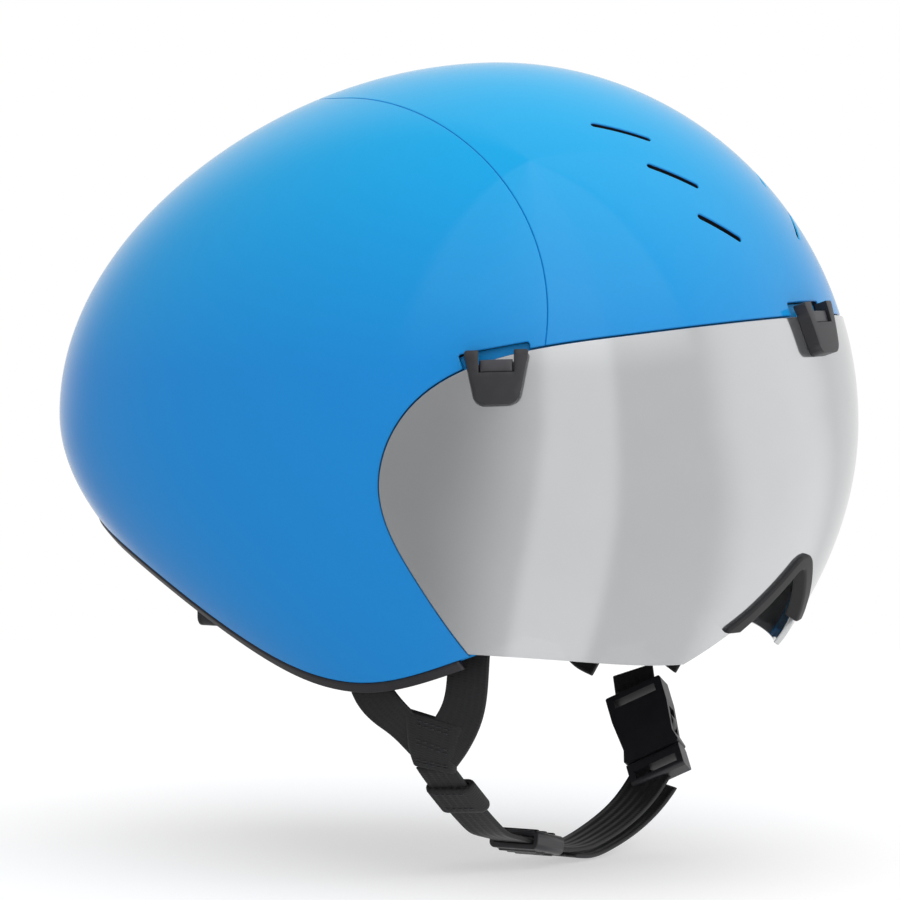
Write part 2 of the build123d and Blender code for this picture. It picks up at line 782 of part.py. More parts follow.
# Clips with their inset tabs and magnets
clip_base = lens_proud + clip_gap
clip_skin = shell_skin(-clip_base - clip_thickness, -clip_base)
tab_skin = shell_skin(-clip_base - clip_thickness + clip_tab_drop, -clip_base)
tab_middle = clip_rise - clip_tab_tall / 2
for name, plane in clip_planes.items():
    window = (clip_tab_width, clip_tab_tall + clip_edge, clip_depth * 2)
    tab = (clip_tab_width - move_gap * 2, clip_tab_tall - clip_rise, clip_depth * 2)
    window_box = plane_box(plane, window, (0, tab_middle + clip_edge / 2, 0))
    tab_box = plane_box(plane, tab, (0, tab_middle - clip_rise / 2 + fit_gap, 0))
    magnet_low = clip_base + clip_wall
    magnet_top = magnet_low + magnet_height
    clip = clip_skin & through(plane, clip_face(), clip_depth)
    clip -= window_box
    clip -= magnet_at(plane, magnet_radius + fit_gap, 0, magnet_top)
    save("clip_" + name, clip)
    save("clip_tab_" + name, tab_skin & tab_box)
    save("clip_magnet_" + name, magnet_at(plane, magnet_radius, magnet_low, magnet_top - fit_gap))

# Chin webbing with its sewn join
chin = [strap_point(share) for share in chin_shares]
tail = [strap_point(share) for share in tail_shares]
sewn = [strap_point(share) for share in sewn_shares]
save("sewn_join", webbing(sewn, webbing_width, sewn_thickness, (chin[1] - chin[0]).normalized()))
save("chin_webbing", webbing(chin))
save("webbing_tail", webbing(tail))


def edges_along(solid, direction):
    return solid.edges().filter_by(lambda edge: abs((edge % 0).dot(direction)) > along_share)


def sleeve(plane, length, wall, width=webbing_width, gap=move_gap):
    """A flat loop round the webbing."""
    thick = webbing_thickness + gap * 2
    body = plane_box(plane, (width + gap * 2 + wall * 2, thick + wall * 2, length))
    body = fillet(edges_along(body, plane.z_dir), wall)
    return body - plane_box(plane, (width + gap * 2, thick, length * 2))


def run_plane(points, first, share):
    along = (points[first + 1] - points[first]).normalized()
    middle = points[first] + (points[first + 1] - points[first]) * share
    return Plane(origin=middle, x_dir=across(along), z_dir=along)


keeper_plane = run_plane(chin, 0, keeper_share)
save("strap_keeper", sleeve(keeper_plane, keeper_length, keeper_wall))
slider_plane = run_plane(chin, 3, slider_share)
slider = sleeve(slider_plane, slider_length, slider_wall)
slider_half = webbing_thickness / 2 + move_gap + slider_wall
for share in slider_rib_shares:
    for face in (-1, 1):
        size = (webbing_width, slider_rib * 2, slider_rib * 2)
        slider += plane_box(slider_plane, size, (0, face * slider_half, share * slider_length))
save("strap_slider", slider)

# Side release buckle
mouth = strap_point(buckle_mouth_shares)
rise = (strap_point(buckle_top_shares) - mouth).normalized()
buckle = Plane(origin=mouth, x_dir=across(rise), z_dir=rise)
bar_top = buckle_body + buckle_slot + buckle_bar
half_mouth = buckle_width / 2
half_waist = buckle_waist / 2
inside = half_waist - buckle_wall
deep = buckle_thickness / 2


def buckle_prism(face, depth):
    """A face drawn across the buckle and up it, to a depth each way."""
    return buckle * (extrude(Plane.XZ * face, amount=depth, both=True))


shoulder = window_high + buckle_bar
female_face = make_face(Polyline((-half_mouth, 0), (half_mouth, 0), (half_waist, window_low),
                                 (half_mouth, shoulder), (half_mouth, bar_top), (-half_mouth, bar_top),
                                 (-half_mouth, shoulder), (-half_waist, window_low), (-half_mouth, 0)))
female = buckle_prism(fillet(female_face.vertices(), buckle_wall / 2), deep)
inner_deep = deep - buckle_wall
hollow = span_box((-inside, -inner_deep, -overrun), (inside, inner_deep, buckle_body - buckle_wall))
webbing_slot = span_box((-inside, -overrun, buckle_body), (inside, overrun, buckle_body + buckle_slot))
windows = span_box((-overrun, -inner_deep, window_low), (overrun, inner_deep, window_high))
female -= [buckle * hollow, buckle * webbing_slot, buckle * windows]
save("buckle_female", female)

arm_deep = inner_deep - move_gap
male_half = male_width / 2
male = buckle * span_box((-male_half, -deep, -male_base), (male_half, deep, -move_gap))
male = fillet(edges_along(male, buckle.x_dir), buckle_wall)
slot_foot = buckle_bar - male_base
male -= buckle * span_box((-inside, -overrun, slot_foot), (inside, overrun, slot_foot + buckle_slot))
guide_half = guide_width / 2
male += buckle * span_box((-guide_half, -arm_deep, -buckle_wall),
                          (guide_half, arm_deep, window_high - buckle_slot))
save("buckle_male", male)

prong_outer = inside - prong_gap
prong_inner = prong_outer - prong_width
window_middle = (window_low + window_high) / 2
tab_reach = half_waist + tab_proud
tab_chord = (window_high - window_low) / 2 - move_gap
tab_sag = tab_reach - prong_outer
tab_radius = (tab_chord ** 2 + tab_sag ** 2) / 2 / tab_sag
prongs = []
for side in (-1, 1):
    arm = span_box((prong_inner, -arm_deep, 0), (prong_outer, arm_deep, window_high))
    tab = Pos(tab_reach - tab_radius, 0, window_middle) * Rot(90, 0, 0) * Cylinder(tab_radius, arm_deep * 2)
    arm += tab & span_box((prong_inner, -arm_deep, 0), (tab_reach, arm_deep, window_high))
    foot = span_box((prong_inner, -arm_deep, -move_gap), (prong_outer, arm_deep, 0))
    prongs.append(buckle * ((arm + foot) if side > 0 else mirror(arm + foot, about=Plane.YZ)))
save("buckle_prongs", *prongs)
buckle_strap = [strap_point(share) for share in buckle_strap_shares]
save("buckle_webbing", webbing([mouth + rise * (bar_top + bar_clear)] + buckle_strap))
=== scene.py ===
# %% [markdown]
# # Aero time trial helmet
# A smooth, short tailed racing helmet: two glossy blue shells bonded over black foam, a silver tinted
# wraparound visor held by three magnets, and a black webbing chin strap with a side release buckle.
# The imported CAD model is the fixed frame. Hard pieces stay as they are there and get finishes and softened
# edges. The big glossy skins, the webbing and the pads are built here, on the places that the frame gives.

# %% Load the frame
import json
import math
import bpy
import numpy as np
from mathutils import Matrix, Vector


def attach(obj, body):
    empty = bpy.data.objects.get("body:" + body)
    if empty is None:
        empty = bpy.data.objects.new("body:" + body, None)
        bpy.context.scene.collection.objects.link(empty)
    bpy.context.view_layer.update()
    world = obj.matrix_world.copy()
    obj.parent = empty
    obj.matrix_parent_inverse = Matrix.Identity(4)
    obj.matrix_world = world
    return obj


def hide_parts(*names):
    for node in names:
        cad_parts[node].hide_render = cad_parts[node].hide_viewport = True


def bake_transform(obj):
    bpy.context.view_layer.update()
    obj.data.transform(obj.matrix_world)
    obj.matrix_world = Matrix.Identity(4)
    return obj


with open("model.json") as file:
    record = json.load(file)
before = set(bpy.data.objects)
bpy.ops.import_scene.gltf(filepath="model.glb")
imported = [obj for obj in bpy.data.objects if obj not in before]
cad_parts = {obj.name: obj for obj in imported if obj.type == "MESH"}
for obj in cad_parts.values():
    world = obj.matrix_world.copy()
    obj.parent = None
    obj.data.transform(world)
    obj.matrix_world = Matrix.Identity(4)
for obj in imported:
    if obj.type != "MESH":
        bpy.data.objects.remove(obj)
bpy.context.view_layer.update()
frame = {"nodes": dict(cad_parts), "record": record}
nodes = frame["nodes"]
mm = 0.001
print("frame nodes:", len(nodes))

# %% [markdown]
# ## The photograph's view
# A long lens from far away keeps the helmet's outline round. The camera stands to the wearer's right and a
# little above. It looks past the origin, because the helmet sits right of and above the picture's middle.
# A short lens from close by would fill the picture too, but it would swell the side that is nearest.

# %% Camera
camera_azimuth = -60.0
camera_elevation = 3.5
camera_distance = 1500 * mm
aim_left = 15.8 * mm
aim_down = 9.8 * mm
focal_length = 180.0
film_width = 36.0
sight_limit = 20.0


def heading(azimuth, elevation):
    """The way from the helmet to a place: azimuth from straight ahead, and elevation, in degrees."""
    around = math.radians(azimuth)
    above = math.radians(elevation)
    return Vector((math.sin(around) * math.cos(above), -math.cos(around) * math.cos(above), math.sin(above)))


back = heading(camera_azimuth, camera_elevation)
right = Vector((0, 0, 1)).cross(back).normalized()
rise = back.cross(right)
lens_data = bpy.data.cameras.new("camera")
lens_data.lens = focal_length
lens_data.sensor_width = film_width
lens_data.clip_end = sight_limit
camera = bpy.data.objects.new("camera", lens_data)
camera.location = back * camera_distance - right * aim_left - rise * aim_down
camera.rotation_euler = (-back).to_track_quat("-Z", "Y").to_euler()
bpy.context.scene.collection.objects.link(camera)
bpy.context.scene.camera = camera
bpy.context.scene.view_settings.view_transform = "Standard"
print("camera at", [round(value, 3) for value in camera.location])

# %% [markdown]
# ## Colours and nodes
# Paint and plastic colours are written as on a colour card, in sRGB hex. Blender mixes light in linear
# values, so one function turns one into the other. Another adds a shader node with its settings and links,
# and every material is built with it, from its pattern to its surface.


# %% Colour and node helpers
def linear(card):
    """A linear colour from an sRGB hex card value, by the curve of the sRGB standard."""
    channels = [int(card[i:i + 2], 16) / 255 for i in (1, 3, 5)]
    curve = [value / 12.92 if value <= 0.04045 else ((value + 0.055) / 1.055) ** 2.4 for value in channels]
    return (*curve, 1.0)


def add(tree, kind, inputs=None, **settings):
    """Adds a node; inputs are values or the sockets that feed it."""
    node = tree.nodes.new(kind)
    for name, value in settings.items():
        setattr(node, name, value)
    for name, value in (inputs or {}).items():
        socket = node.inputs[name]
        if isinstance(value, bpy.types.NodeSocket):
            tree.links.new(value, socket)
        else:
            socket.default_value = value
    return node


def new_material(name):
    """An empty material, its nodes, and the place on the helmet in metres, from which patterns are drawn."""
    material = bpy.data.materials.new(name)
    material.use_nodes = True
    tree = material.node_tree
    tree.nodes.clear()
    return material, tree, add(tree, "ShaderNodeTexCoord").outputs["Object"]


print("white card:", linear("#ffffff"))

# %% [markdown]
# ## Studio
# A white sweep and soft lamps, as for a catalogue. The floor and the world are white to the camera, and the
# light on the helmet stays at a plain level. What mirrors see is drawn with the same function on the world
# and on the floor: an unlit end at the wearer's right rear, a tall soft box near the camera, a broad bright
# wall at the front left and a big soft box overhead. These shade the mirrored visor from dark to bright.
# Real lamps could stand there instead, but the bent lens would mirror them as hard bright frames, and
# their light would wash out the paint, so the boxes are only drawn.

# %% The studio that mirrors see
# Each box has an azimuth, a half width and a soft edge in degrees, and the brightness that it adds.
dark_end = (-140, 45, 35, -0.46)
tall_box = (-49, 10, 6, 0.24)
bright_wall = (35, 12, 25, 0.26)
roof_box = (-53, 50, 7, 0.55)
# The roof box fades in between these heights of a direction, where 0 is level and 1 is straight up.
roof_low = 0.30
roof_high = 0.65
plain_level = 0.86


def lobe(tree, flat, azimuth, half, soft, gain):
    """How much a soft edged box adds in a level direction."""
    toward = heading(azimuth, 0)
    near = add(tree, "ShaderNodeVectorMath", {0: flat, 1: toward}, operation="DOT_PRODUCT")
    return add(tree, "ShaderNodeMapRange", {
        "Value": near.outputs["Value"], "From Min": math.cos(math.radians(half + soft)),
        "From Max": math.cos(math.radians(half)), "To Min": 0.0, "To Max": gain},
        interpolation_type="SMOOTHSTEP").outputs[0]


def mirrored_studio(tree, way):
    """How bright mirrors see the walls in a direction, whatever its height, and the roof box."""
    level_way = add(tree, "ShaderNodeVectorMath", {0: way, 1: (1, 1, 0)}, operation="MULTIPLY").outputs[0]
    flat = add(tree, "ShaderNodeVectorMath", {0: level_way}, operation="NORMALIZE").outputs[0]
    walls = plain_level
    for box in (dark_end, tall_box, bright_wall):
        walls = add(tree, "ShaderNodeMath", {0: walls, 1: lobe(tree, flat, *box)}, operation="ADD").outputs[0]
    height = add(tree, "ShaderNodeSeparateXYZ", {0: way}).outputs["Z"]
    above = add(tree, "ShaderNodeMapRange", {"Value": height, "From Min": roof_low, "From Max": roof_high})
    roof = add(tree, "ShaderNodeMath", {0: above.outputs[0], 1: lobe(tree, flat, *roof_box)},
               operation="MULTIPLY")
    return walls, roof.outputs[0]


print("mirrored level without boxes:", plain_level)

# %% World
world_light = 0.62

world = bpy.data.worlds.new("studio")
bpy.context.scene.world = world
world.use_nodes = True
tree = world.node_tree
tree.nodes.clear()
path = add(tree, "ShaderNodeLightPath").outputs
clear_view = add(tree, "ShaderNodeMath", {0: path["Is Camera Ray"], 1: path["Is Transmission Ray"]},
                 operation="MAXIMUM")
seen = add(tree, "ShaderNodeMath", {0: clear_view.outputs[0], 1: path["Is Glossy Ray"]}, operation="MAXIMUM")
walls, roof = mirrored_studio(tree, add(tree, "ShaderNodeTexCoord").outputs["Generated"])
mirrored = add(tree, "ShaderNodeMath", {0: walls, 1: roof}, operation="ADD")
white = add(tree, "ShaderNodeMix", {"Factor": path["Is Glossy Ray"], "A": 1.0, "B": mirrored.outputs[0]},
            data_type="FLOAT")
level = add(tree, "ShaderNodeMix", {"Factor": seen.outputs[0], "A": world_light, "B": white.outputs[0]},
            data_type="FLOAT")
glow = add(tree, "ShaderNodeBackground", {"Color": linear("#ffffff"), "Strength": level.outputs[0]})
add(tree, "ShaderNodeOutputWorld", {"Surface": glow.outputs[0]})
print("world light:", world_light)

# %% [markdown]
# The floor is matt white paper. Near the helmet it takes the shadow, and farther off it goes over to the
# plain white of the world, so that no edge of it shows. Bent up at the rear, as in a studio, it would show a
# grey band where it turns, and more light on it would change the helmet, so it glows a little instead.

# %% Floor
floor_level = -146.5 * mm
floor_half = 6.0
paper_share = 0.35
paper_near = 1.35
fade_start = 0.25
fade_stop = 0.75

sweep_material, tree, spot = new_material("matt_white_sweep")
path = add(tree, "ShaderNodeLightPath").outputs
reach = add(tree, "ShaderNodeVectorMath", {0: spot}, operation="LENGTH").outputs["Value"]
fade, near_white = [
    add(tree, "ShaderNodeMapRange", {"Value": reach, "From Min": fade_start, "From Max": fade_stop,
                                     "To Min": start, "To Max": 1.0}).outputs[0]
    for start in (paper_share, paper_near)]
walls, _ = mirrored_studio(tree, spot)
paper_level = add(tree, "ShaderNodeMix", {"Factor": path["Is Glossy Ray"], "A": near_white, "B": walls},
                  data_type="FLOAT")
paper = add(tree, "ShaderNodeEmission", {"Color": linear("#ffffff"), "Strength": paper_level.outputs[0]})
clear_view = add(tree, "ShaderNodeMath", {0: path["Is Camera Ray"], 1: path["Is Transmission Ray"]},
                 operation="MAXIMUM")
share = add(tree, "ShaderNodeMath", {0: clear_view.outputs[0], 1: fade}, operation="MULTIPLY")
plain = add(tree, "ShaderNodeMath", {0: path["Is Glossy Ray"], 1: share.outputs[0]}, operation="MAXIMUM")
matt = add(tree, "ShaderNodeBsdfPrincipled", {"Base Color": linear("#f4f4f4"), "Roughness": 0.9})
blend_in = add(tree, "ShaderNodeMixShader", {0: plain.outputs[0], 1: matt.outputs[0], 2: paper.outputs[0]})
add(tree, "ShaderNodeOutputMaterial", {"Surface": blend_in.outputs[0]})

sweep_mesh = bpy.data.meshes.new("floor")
floor_corners = [(x * floor_half, y * floor_half, floor_level)
                 for x, y in ((-1, -1), (1, -1), (1, 1), (-1, 1))]
sweep_mesh.from_pydata(floor_corners, [], [(0, 1, 2, 3)])
sweep_mesh.materials.append(sweep_material)
sweep = bpy.data.objects.new("floor", sweep_mesh)
bpy.context.scene.collection.objects.link(sweep)
print("floor level:", floor_level)

# %% [markdown]
# Three soft lamps face the helmet: a wide one overhead, a tall one beside the camera and a weak fill at the
# front. Mirrors don't see them, since the drawn studio stands in their place.

# %% Lamps
# Azimuth and elevation in degrees, then distance, width and height in metres, and watts.
lamps = {
    "overhead": (-40, 78, 1.6, 2.4, 2.4, 21.0),
    "side_box": (-48, 15, 1.9, 0.8, 1.8, 5.0),
    "front_fill": (20, 25, 2.0, 0.9, 0.9, 3.0),
}
for name, (azimuth, elevation, distance, width, height, watts) in lamps.items():
    toward = heading(azimuth, elevation)
    data = bpy.data.lights.new(name, "AREA")
    data.shape = "RECTANGLE"
    data.size = width
    data.size_y = height
    data.energy = watts
    light = bpy.data.objects.new(name, data)
    light.location = toward * distance
    light.visible_glossy = False
    light.rotation_euler = toward.to_track_quat("Z", "Y").to_euler()
    bpy.context.scene.collection.objects.link(light)
print("lamps:", len(bpy.data.lights))

# %% [markdown]
# ## The shell's form
# Each level of the shell is an egg shaped curve: one half width, a shorter front reach and a longer rear
# reach. The levels shrink to the crown along an arc and tuck in below the widest one. The same few numbers
# give a point and a direction anywhere, so reflections run smoothly, which a glossy shell needs most.
# A cage with a Subdivision modifier could come close, but its small waves would show in the gloss.

# %% Form values
half_width = 106 * mm
front_reach = 120 * mm
rear_reach = 163 * mm
crown_height = 119 * mm
rear_crown_share = 0.123
side_tuck = 168 * mm
front_tuck = 161 * mm
rear_tuck = 109 * mm
small_turn = 0.0005
crown_limit = math.pi / 2 - 0.004


def form_point(turn, climb):
    """Points on the shell: turn goes round from the front, climb goes up from the widest level."""
    level = np.where(climb >= 0, crown_height * np.sin(climb), crown_height * climb)
    arch = np.cos(np.maximum(climb, 0))
    side = np.where(climb >= 0, arch, 1 - (level / side_tuck) ** 2)
    front = np.where(climb >= 0, arch, 1 - (level / front_tuck) ** 2)
    crown_share = np.clip(level / crown_height, 0, 1) ** 2
    rear = np.where(climb >= 0, arch * (1 - rear_crown_share * crown_share), 1 - (level / rear_tuck) ** 2)
    mean = (front_reach * front + rear_reach * rear) / 2
    lean = (rear_reach * rear - front_reach * front) / 2
    across = half_width * side * np.sin(turn)
    along = -mean * np.cos(turn) + lean * np.cos(turn) ** 2
    return np.stack([across, along, level], axis=-1)


def form_normal(turn, climb):
    """Directions straight out of the shell."""
    climb = np.minimum(climb, crown_limit)
    around = form_point(turn + small_turn, climb) - form_point(turn - small_turn, climb)
    up = form_point(turn, climb + small_turn) - form_point(turn, climb - small_turn)
    normal = np.cross(around, up)
    return normal / np.linalg.norm(normal, axis=-1, keepdims=True)


def climb_at(level):
    """The climb value of a level."""
    return math.asin(min(level / crown_height, 1.0)) if level >= 0 else level / crown_height


print("shell width", 2 * half_width, "length", front_reach + rear_reach)

# %% [markdown]
# ## Edges of the skins
# The visor opening, the lower rim, the seam and the louvres are curves drawn flat, as on a side view or on a
# small plane that lies on the shell. Each cuts a skin like a cookie cutter. The distance to a curve, measured
# along the surface, says what stays, and its direction says which way the rounded edge turns. A Boolean
# modifier could cut the skins too, but it leaves long thin cells beside a cut, and the shading breaks there.

# %% Planes and curve helpers
side_axes = (np.zeros(3), np.array([0.0, 1.0, 0.0]), np.array([0.0, 0.0, 1.0]))
front_axes = (np.zeros(3), np.array([1.0, 0.0, 0.0]), np.array([0.0, 0.0, 1.0]))
curve_steps = 12
corner_steps = 6


def smooth(points, steps=curve_steps):
    """A smooth curve through points, with natural ends."""
    points = np.array(points, float)
    runs = np.linalg.norm(np.diff(points, axis=0), axis=1)
    knots = np.concatenate([[0], np.cumsum(runs)])
    count = len(points)
    matrix = np.eye(count)
    right_side = np.zeros_like(points)
    for i in range(1, count - 1):
        before = knots[i] - knots[i - 1]
        after = knots[i + 1] - knots[i]
        matrix[i, i - 1:i + 2] = (before, 2 * (before + after), after)
        rise_after = (points[i + 1] - points[i]) / after
        rise_before = (points[i] - points[i - 1]) / before
        right_side[i] = 6 * (rise_after - rise_before)
    bend = np.linalg.solve(matrix, right_side)
    made = [points[:1]]
    for i in range(count - 1):
        run = knots[i + 1] - knots[i]
        b = np.linspace(0, 1, steps + 1)[1:, None]
        a = 1 - b
        curved = ((a ** 3 - a) * bend[i] + (b ** 3 - b) * bend[i + 1]) * run ** 2 / 6
        made.append(a * points[i] + b * points[i + 1] + curved)
    return np.concatenate(made)


def rounded(corners, radii, steps=corner_steps):
    """A closed outline whose corners are rounded."""
    made = []
    count = len(corners)
    for i, radius in enumerate(radii):
        corner = np.array(corners[i], float)
        before = np.array(corners[i - 1], float) - corner
        after = np.array(corners[(i + 1) % count], float) - corner
        before /= np.linalg.norm(before)
        after /= np.linalg.norm(after)
        half = math.acos(np.clip(before @ after, -1, 1)) / 2
        reach = radius / math.tan(half)
        centre = corner + (before + after) / np.linalg.norm(before + after) * radius / math.sin(half)
        start = corner + before * reach - centre
        stop = corner + after * reach - centre
        for share in np.linspace(0, 1, steps + 1):
            spoke = start * (1 - share) + stop * share
            made.append(centre + spoke / np.linalg.norm(spoke) * radius)
    return np.array(made + [made[0]])


print("points from one curve point to the next:", curve_steps)

# %% [markdown]
# An edge is a curve on a plane, with the side of it that stays. Measuring to it looks along the plane, and
# the slope of the shell under the plane turns that into a distance along the surface.

# %% Edges
far = 300 * mm
least_slope = 0.2
on_curve = 1e-6
hair = 1e-9


def edge(axes, curve, keep, depth=far):
    """A cutting edge; keep is 1 to keep what lies left of the curve's run, and -1 for the right."""
    return {"axes": axes, "curve": np.array(curve, float), "keep": keep, "depth": depth}


def measure(one_edge, points, normals):
    """Distance along the surface to an edge, positive on the kept side, and the way out over it."""
    origin, across, up = one_edge["axes"]
    flat = np.stack([(points - origin) @ across, (points - origin) @ up], axis=-1)
    curve = one_edge["curve"]
    best = np.full(len(flat), np.inf)
    signed = np.zeros(len(flat))
    aim = np.zeros_like(flat)
    for start, stop in zip(curve[:-1], curve[1:]):
        run = stop - start
        share = np.clip(((flat - start) @ run) / (run @ run), 0, 1)
        gap = flat - start - share[:, None] * run
        distance = np.linalg.norm(gap, axis=1)
        turn = run[0] * (flat[:, 1] - start[1]) - run[1] * (flat[:, 0] - start[0])
        nearer = distance < best - hair
        best[nearer] = distance[nearer]
        sign = np.where(turn >= 0, 1.0, -1.0)
        signed[nearer] = (sign * distance)[nearer]
        across_run = np.array([-run[1], run[0]]) / np.linalg.norm(run)
        close = distance < on_curve
        off_curve = gap * (sign / np.maximum(distance, on_curve))[:, None]
        way = np.where(close[:, None], across_run, off_curve)
        aim[nearer] = way[nearer]
    aim = aim[:, :1] * across + aim[:, 1:] * up
    aim -= normals * np.sum(aim * normals, axis=1, keepdims=True)
    slope = np.maximum(np.linalg.norm(aim, axis=1), least_slope)
    reach = one_edge["keep"] * signed / slope
    off_plane = np.abs((points - origin) @ np.cross(across, up)) > one_edge["depth"]
    return np.where(off_plane, far, reach), -one_edge["keep"] * aim / slope[:, None]


print("least slope under an edge:", least_slope)

# %% [markdown]
# The opening and the rim are smooth curves through a few points, as shares of the helmet's reach and crown
# height. The seam rises plumb, then follows a quarter ellipse to the top and runs level to the rear.

# %% The helmet's curves
opening_shares = [(-0.95, 0.312), (-0.71, 0.272), (-0.37, 0.188), (-0.225, 0.085),
                  (-0.133, -0.150), (-0.205, -0.375), (-0.305, -0.600), (-0.40, -0.80)]
rim_shares = [(-0.60, -0.47), (-0.27, -0.597), (0.0, -0.672), (0.30, -0.598), (0.65, -0.372),
              (1.0, -0.235)]
lens_foot_shares = [(-0.20, -0.572), (-0.55, -0.597), (-0.72, -0.617), (-0.90, -0.60)]
seam_centre_share = 0.22
seam_level = 107 * mm
seam_base = 30 * mm
seam_radius = 102 * mm
seam_steps = 40


def side_points(shares):
    """Side view points from shares of the reach and the crown height."""
    return [(y * (front_reach if y < 0 else rear_reach), z * crown_height) for y, z in shares]


opening_curve = smooth(side_points(opening_shares))
opening_start = [(-far, opening_curve[0][1]), (opening_curve[0][0] - mm, opening_curve[0][1])]
opening_stop = [opening_curve[-1] + (opening_curve[-1] - opening_curve[-2]) * curve_steps]
opening_curve = np.concatenate([opening_start, opening_curve, opening_stop])
rim_curve = smooth(side_points(rim_shares))
rim_curve = np.concatenate([[(-far, rim_curve[0][1])], rim_curve, [rim_curve[-1] + np.array([far, 0])]])
foot_curve = smooth(side_points(lens_foot_shares))
foot_curve = np.concatenate([[(far, foot_curve[0][1])], foot_curve, [(-far, foot_curve[-1][1])]])
seam_centre = seam_centre_share * rear_reach
seam_rise = seam_level - seam_base
seam_curve = [(seam_centre - seam_radius * math.cos(turn), seam_base + seam_rise * math.sin(turn))
              for turn in np.linspace(0, math.pi / 2, seam_steps)]
seam_curve = np.array([(seam_centre - seam_radius, -far)] + seam_curve + [(far, seam_level)])
print("curve points:", len(opening_curve), len(rim_curve), len(seam_curve))

# %% [markdown]
# The clips stand over small notches in the shells, and the louvres are cuts with round ends. Both are drawn
# on planes that touch the shell, found from an angle round the helmet and a level, as the cutters of the
# moulds would be.

# %% Planes on the shell
clip_width = 20 * mm
clip_foot = 13 * mm
clip_tall = 17 * mm
clip_rise = 3 * mm
clip_corner = 0.8 * mm
clip_foot_round = 4 * mm
notch_margin = 1.4 * mm
side_clip_turn = math.radians(66.0)
side_clip_level = 0.203 * crown_height
side_clip_tilt = math.radians(11.0)
slot_levels = [(0.823, 0.781), (0.714, 0.655), (0.580, 0.513)]
slot_turns = [(38.0, 22.0), (29.0, 17.5), (22.5, 13.3)]
slot_width = 2 * mm
slot_round_share = 0.98
cutter_depth = 30 * mm


def on_form(turn, level):
    """The point and the way out at one angle and level of the shell."""
    climb = np.array([climb_at(level)])
    turn = np.array([turn])
    return form_point(turn, climb)[0], form_normal(turn, climb)[0]


def clip_axes(side):
    """The plane at a clip's top edge, with its second axis up the shell."""
    level = side_clip_level if side else opening_shares[0][1] * crown_height
    point, normal = on_form(side * side_clip_turn, level)
    flat = np.cross([0.0, 0.0, 1.0], normal)
    flat /= np.linalg.norm(flat)
    up = np.cross(normal, flat)
    tilt = -side * side_clip_tilt
    return point, flat * math.cos(tilt) + up * math.sin(tilt), up * math.cos(tilt) - flat * math.sin(tilt)


def slot_axes(levels, turns):
    """The plane at a louvre's middle, with its first axis along it, and the louvre's length."""
    first = on_form(math.radians(turns[0]), levels[0] * crown_height)[0]
    last = on_form(math.radians(turns[1]), levels[1] * crown_height)[0]
    normal = on_form(math.radians(sum(turns) / 2), sum(levels) / 2 * crown_height)[1]
    along = (last - first) / np.linalg.norm(last - first)
    return ((first + last) / 2, along, np.cross(normal, along)), np.linalg.norm(last - first)


def mirrored_axes(axes):
    """The same plane on the wearer's other side."""
    flip = np.array([-1.0, 1.0, 1.0])
    return axes[0] * flip, axes[1] * flip, axes[2] * flip


notch_half = clip_width / 2 + notch_margin
notch_foot = clip_foot / 2 + notch_margin
notch_top = clip_rise + notch_margin
notch_low = clip_rise - clip_tall - notch_margin
notch_foot_round = clip_foot_round + notch_margin
notch_corners = [(-notch_half, notch_top), (notch_half, notch_top), (notch_foot, notch_low),
                 (-notch_foot, notch_low)]
notch_outline = rounded(notch_corners, [clip_corner] * 2 + [notch_foot_round] * 2)
notch_edges = [edge(clip_axes(side), notch_outline, 1, cutter_depth) for side in (-1, 0, 1)]
slot_edges = []
for levels, turns in zip(slot_levels, slot_turns):
    axes, length = slot_axes(levels, turns)
    half_slot = slot_width / 2
    corners = [(x * length / 2, y * half_slot) for x, y in ((-1, 1), (1, 1), (1, -1), (-1, -1))]
    outline = rounded(corners, [half_slot * slot_round_share] * 4)
    slot_edges.append(edge(axes, outline, 1, cutter_depth))
    slot_edges.append(edge(mirrored_axes(axes), outline, 1, cutter_depth))
print("notches:", len(notch_edges), "louvres:", len(slot_edges))

# %% [markdown]
# ## Cutting and thickening a skin
# A skin starts as a fine grid on the form. Each edge in turn keeps the cells on its side and trims those that
# it crosses, at the point that halving finds on each cell's side.

# %% Grids and trimming
search_steps = 14
circle_slack = 0.001


def spaced(low, high, step, fine):
    """Grid positions from low to high, closer inside the fine zones."""
    made = list(np.arange(low, high + step / 2, step))
    for start, stop, small in fine:
        made = [value for value in made if not start - small / 2 < value < stop + small / 2]
        made += list(np.arange(start, stop + small / 2, small))
    return np.array(sorted(made))


def grid(turns, climbs):
    """A sheet of four sided cells, joined round where the turns make a full circle."""
    whole = turns[-1] - turns[0] > 2 * math.pi - circle_slack
    columns = len(turns) - 1 if whole else len(turns)
    turn, climb = np.meshgrid(turns[:columns], climbs, indexing="ij")
    faces = []
    rows = len(climbs)
    for i in range(columns if whole else columns - 1):
        after = (i + 1) % columns
        for j in range(rows - 1):
            faces.append((i * rows + j, after * rows + j, after * rows + j + 1, i * rows + j + 1))
    return {"turn": turn.ravel(), "climb": climb.ravel(), "tags": [0] * turn.size, "faces": faces}


def reach_of(one_edge, inset, turn, climb):
    """How far places on the form lie inside an edge, beyond the inset."""
    return measure(one_edge, form_point(turn, climb), form_normal(turn, climb))[0] - inset


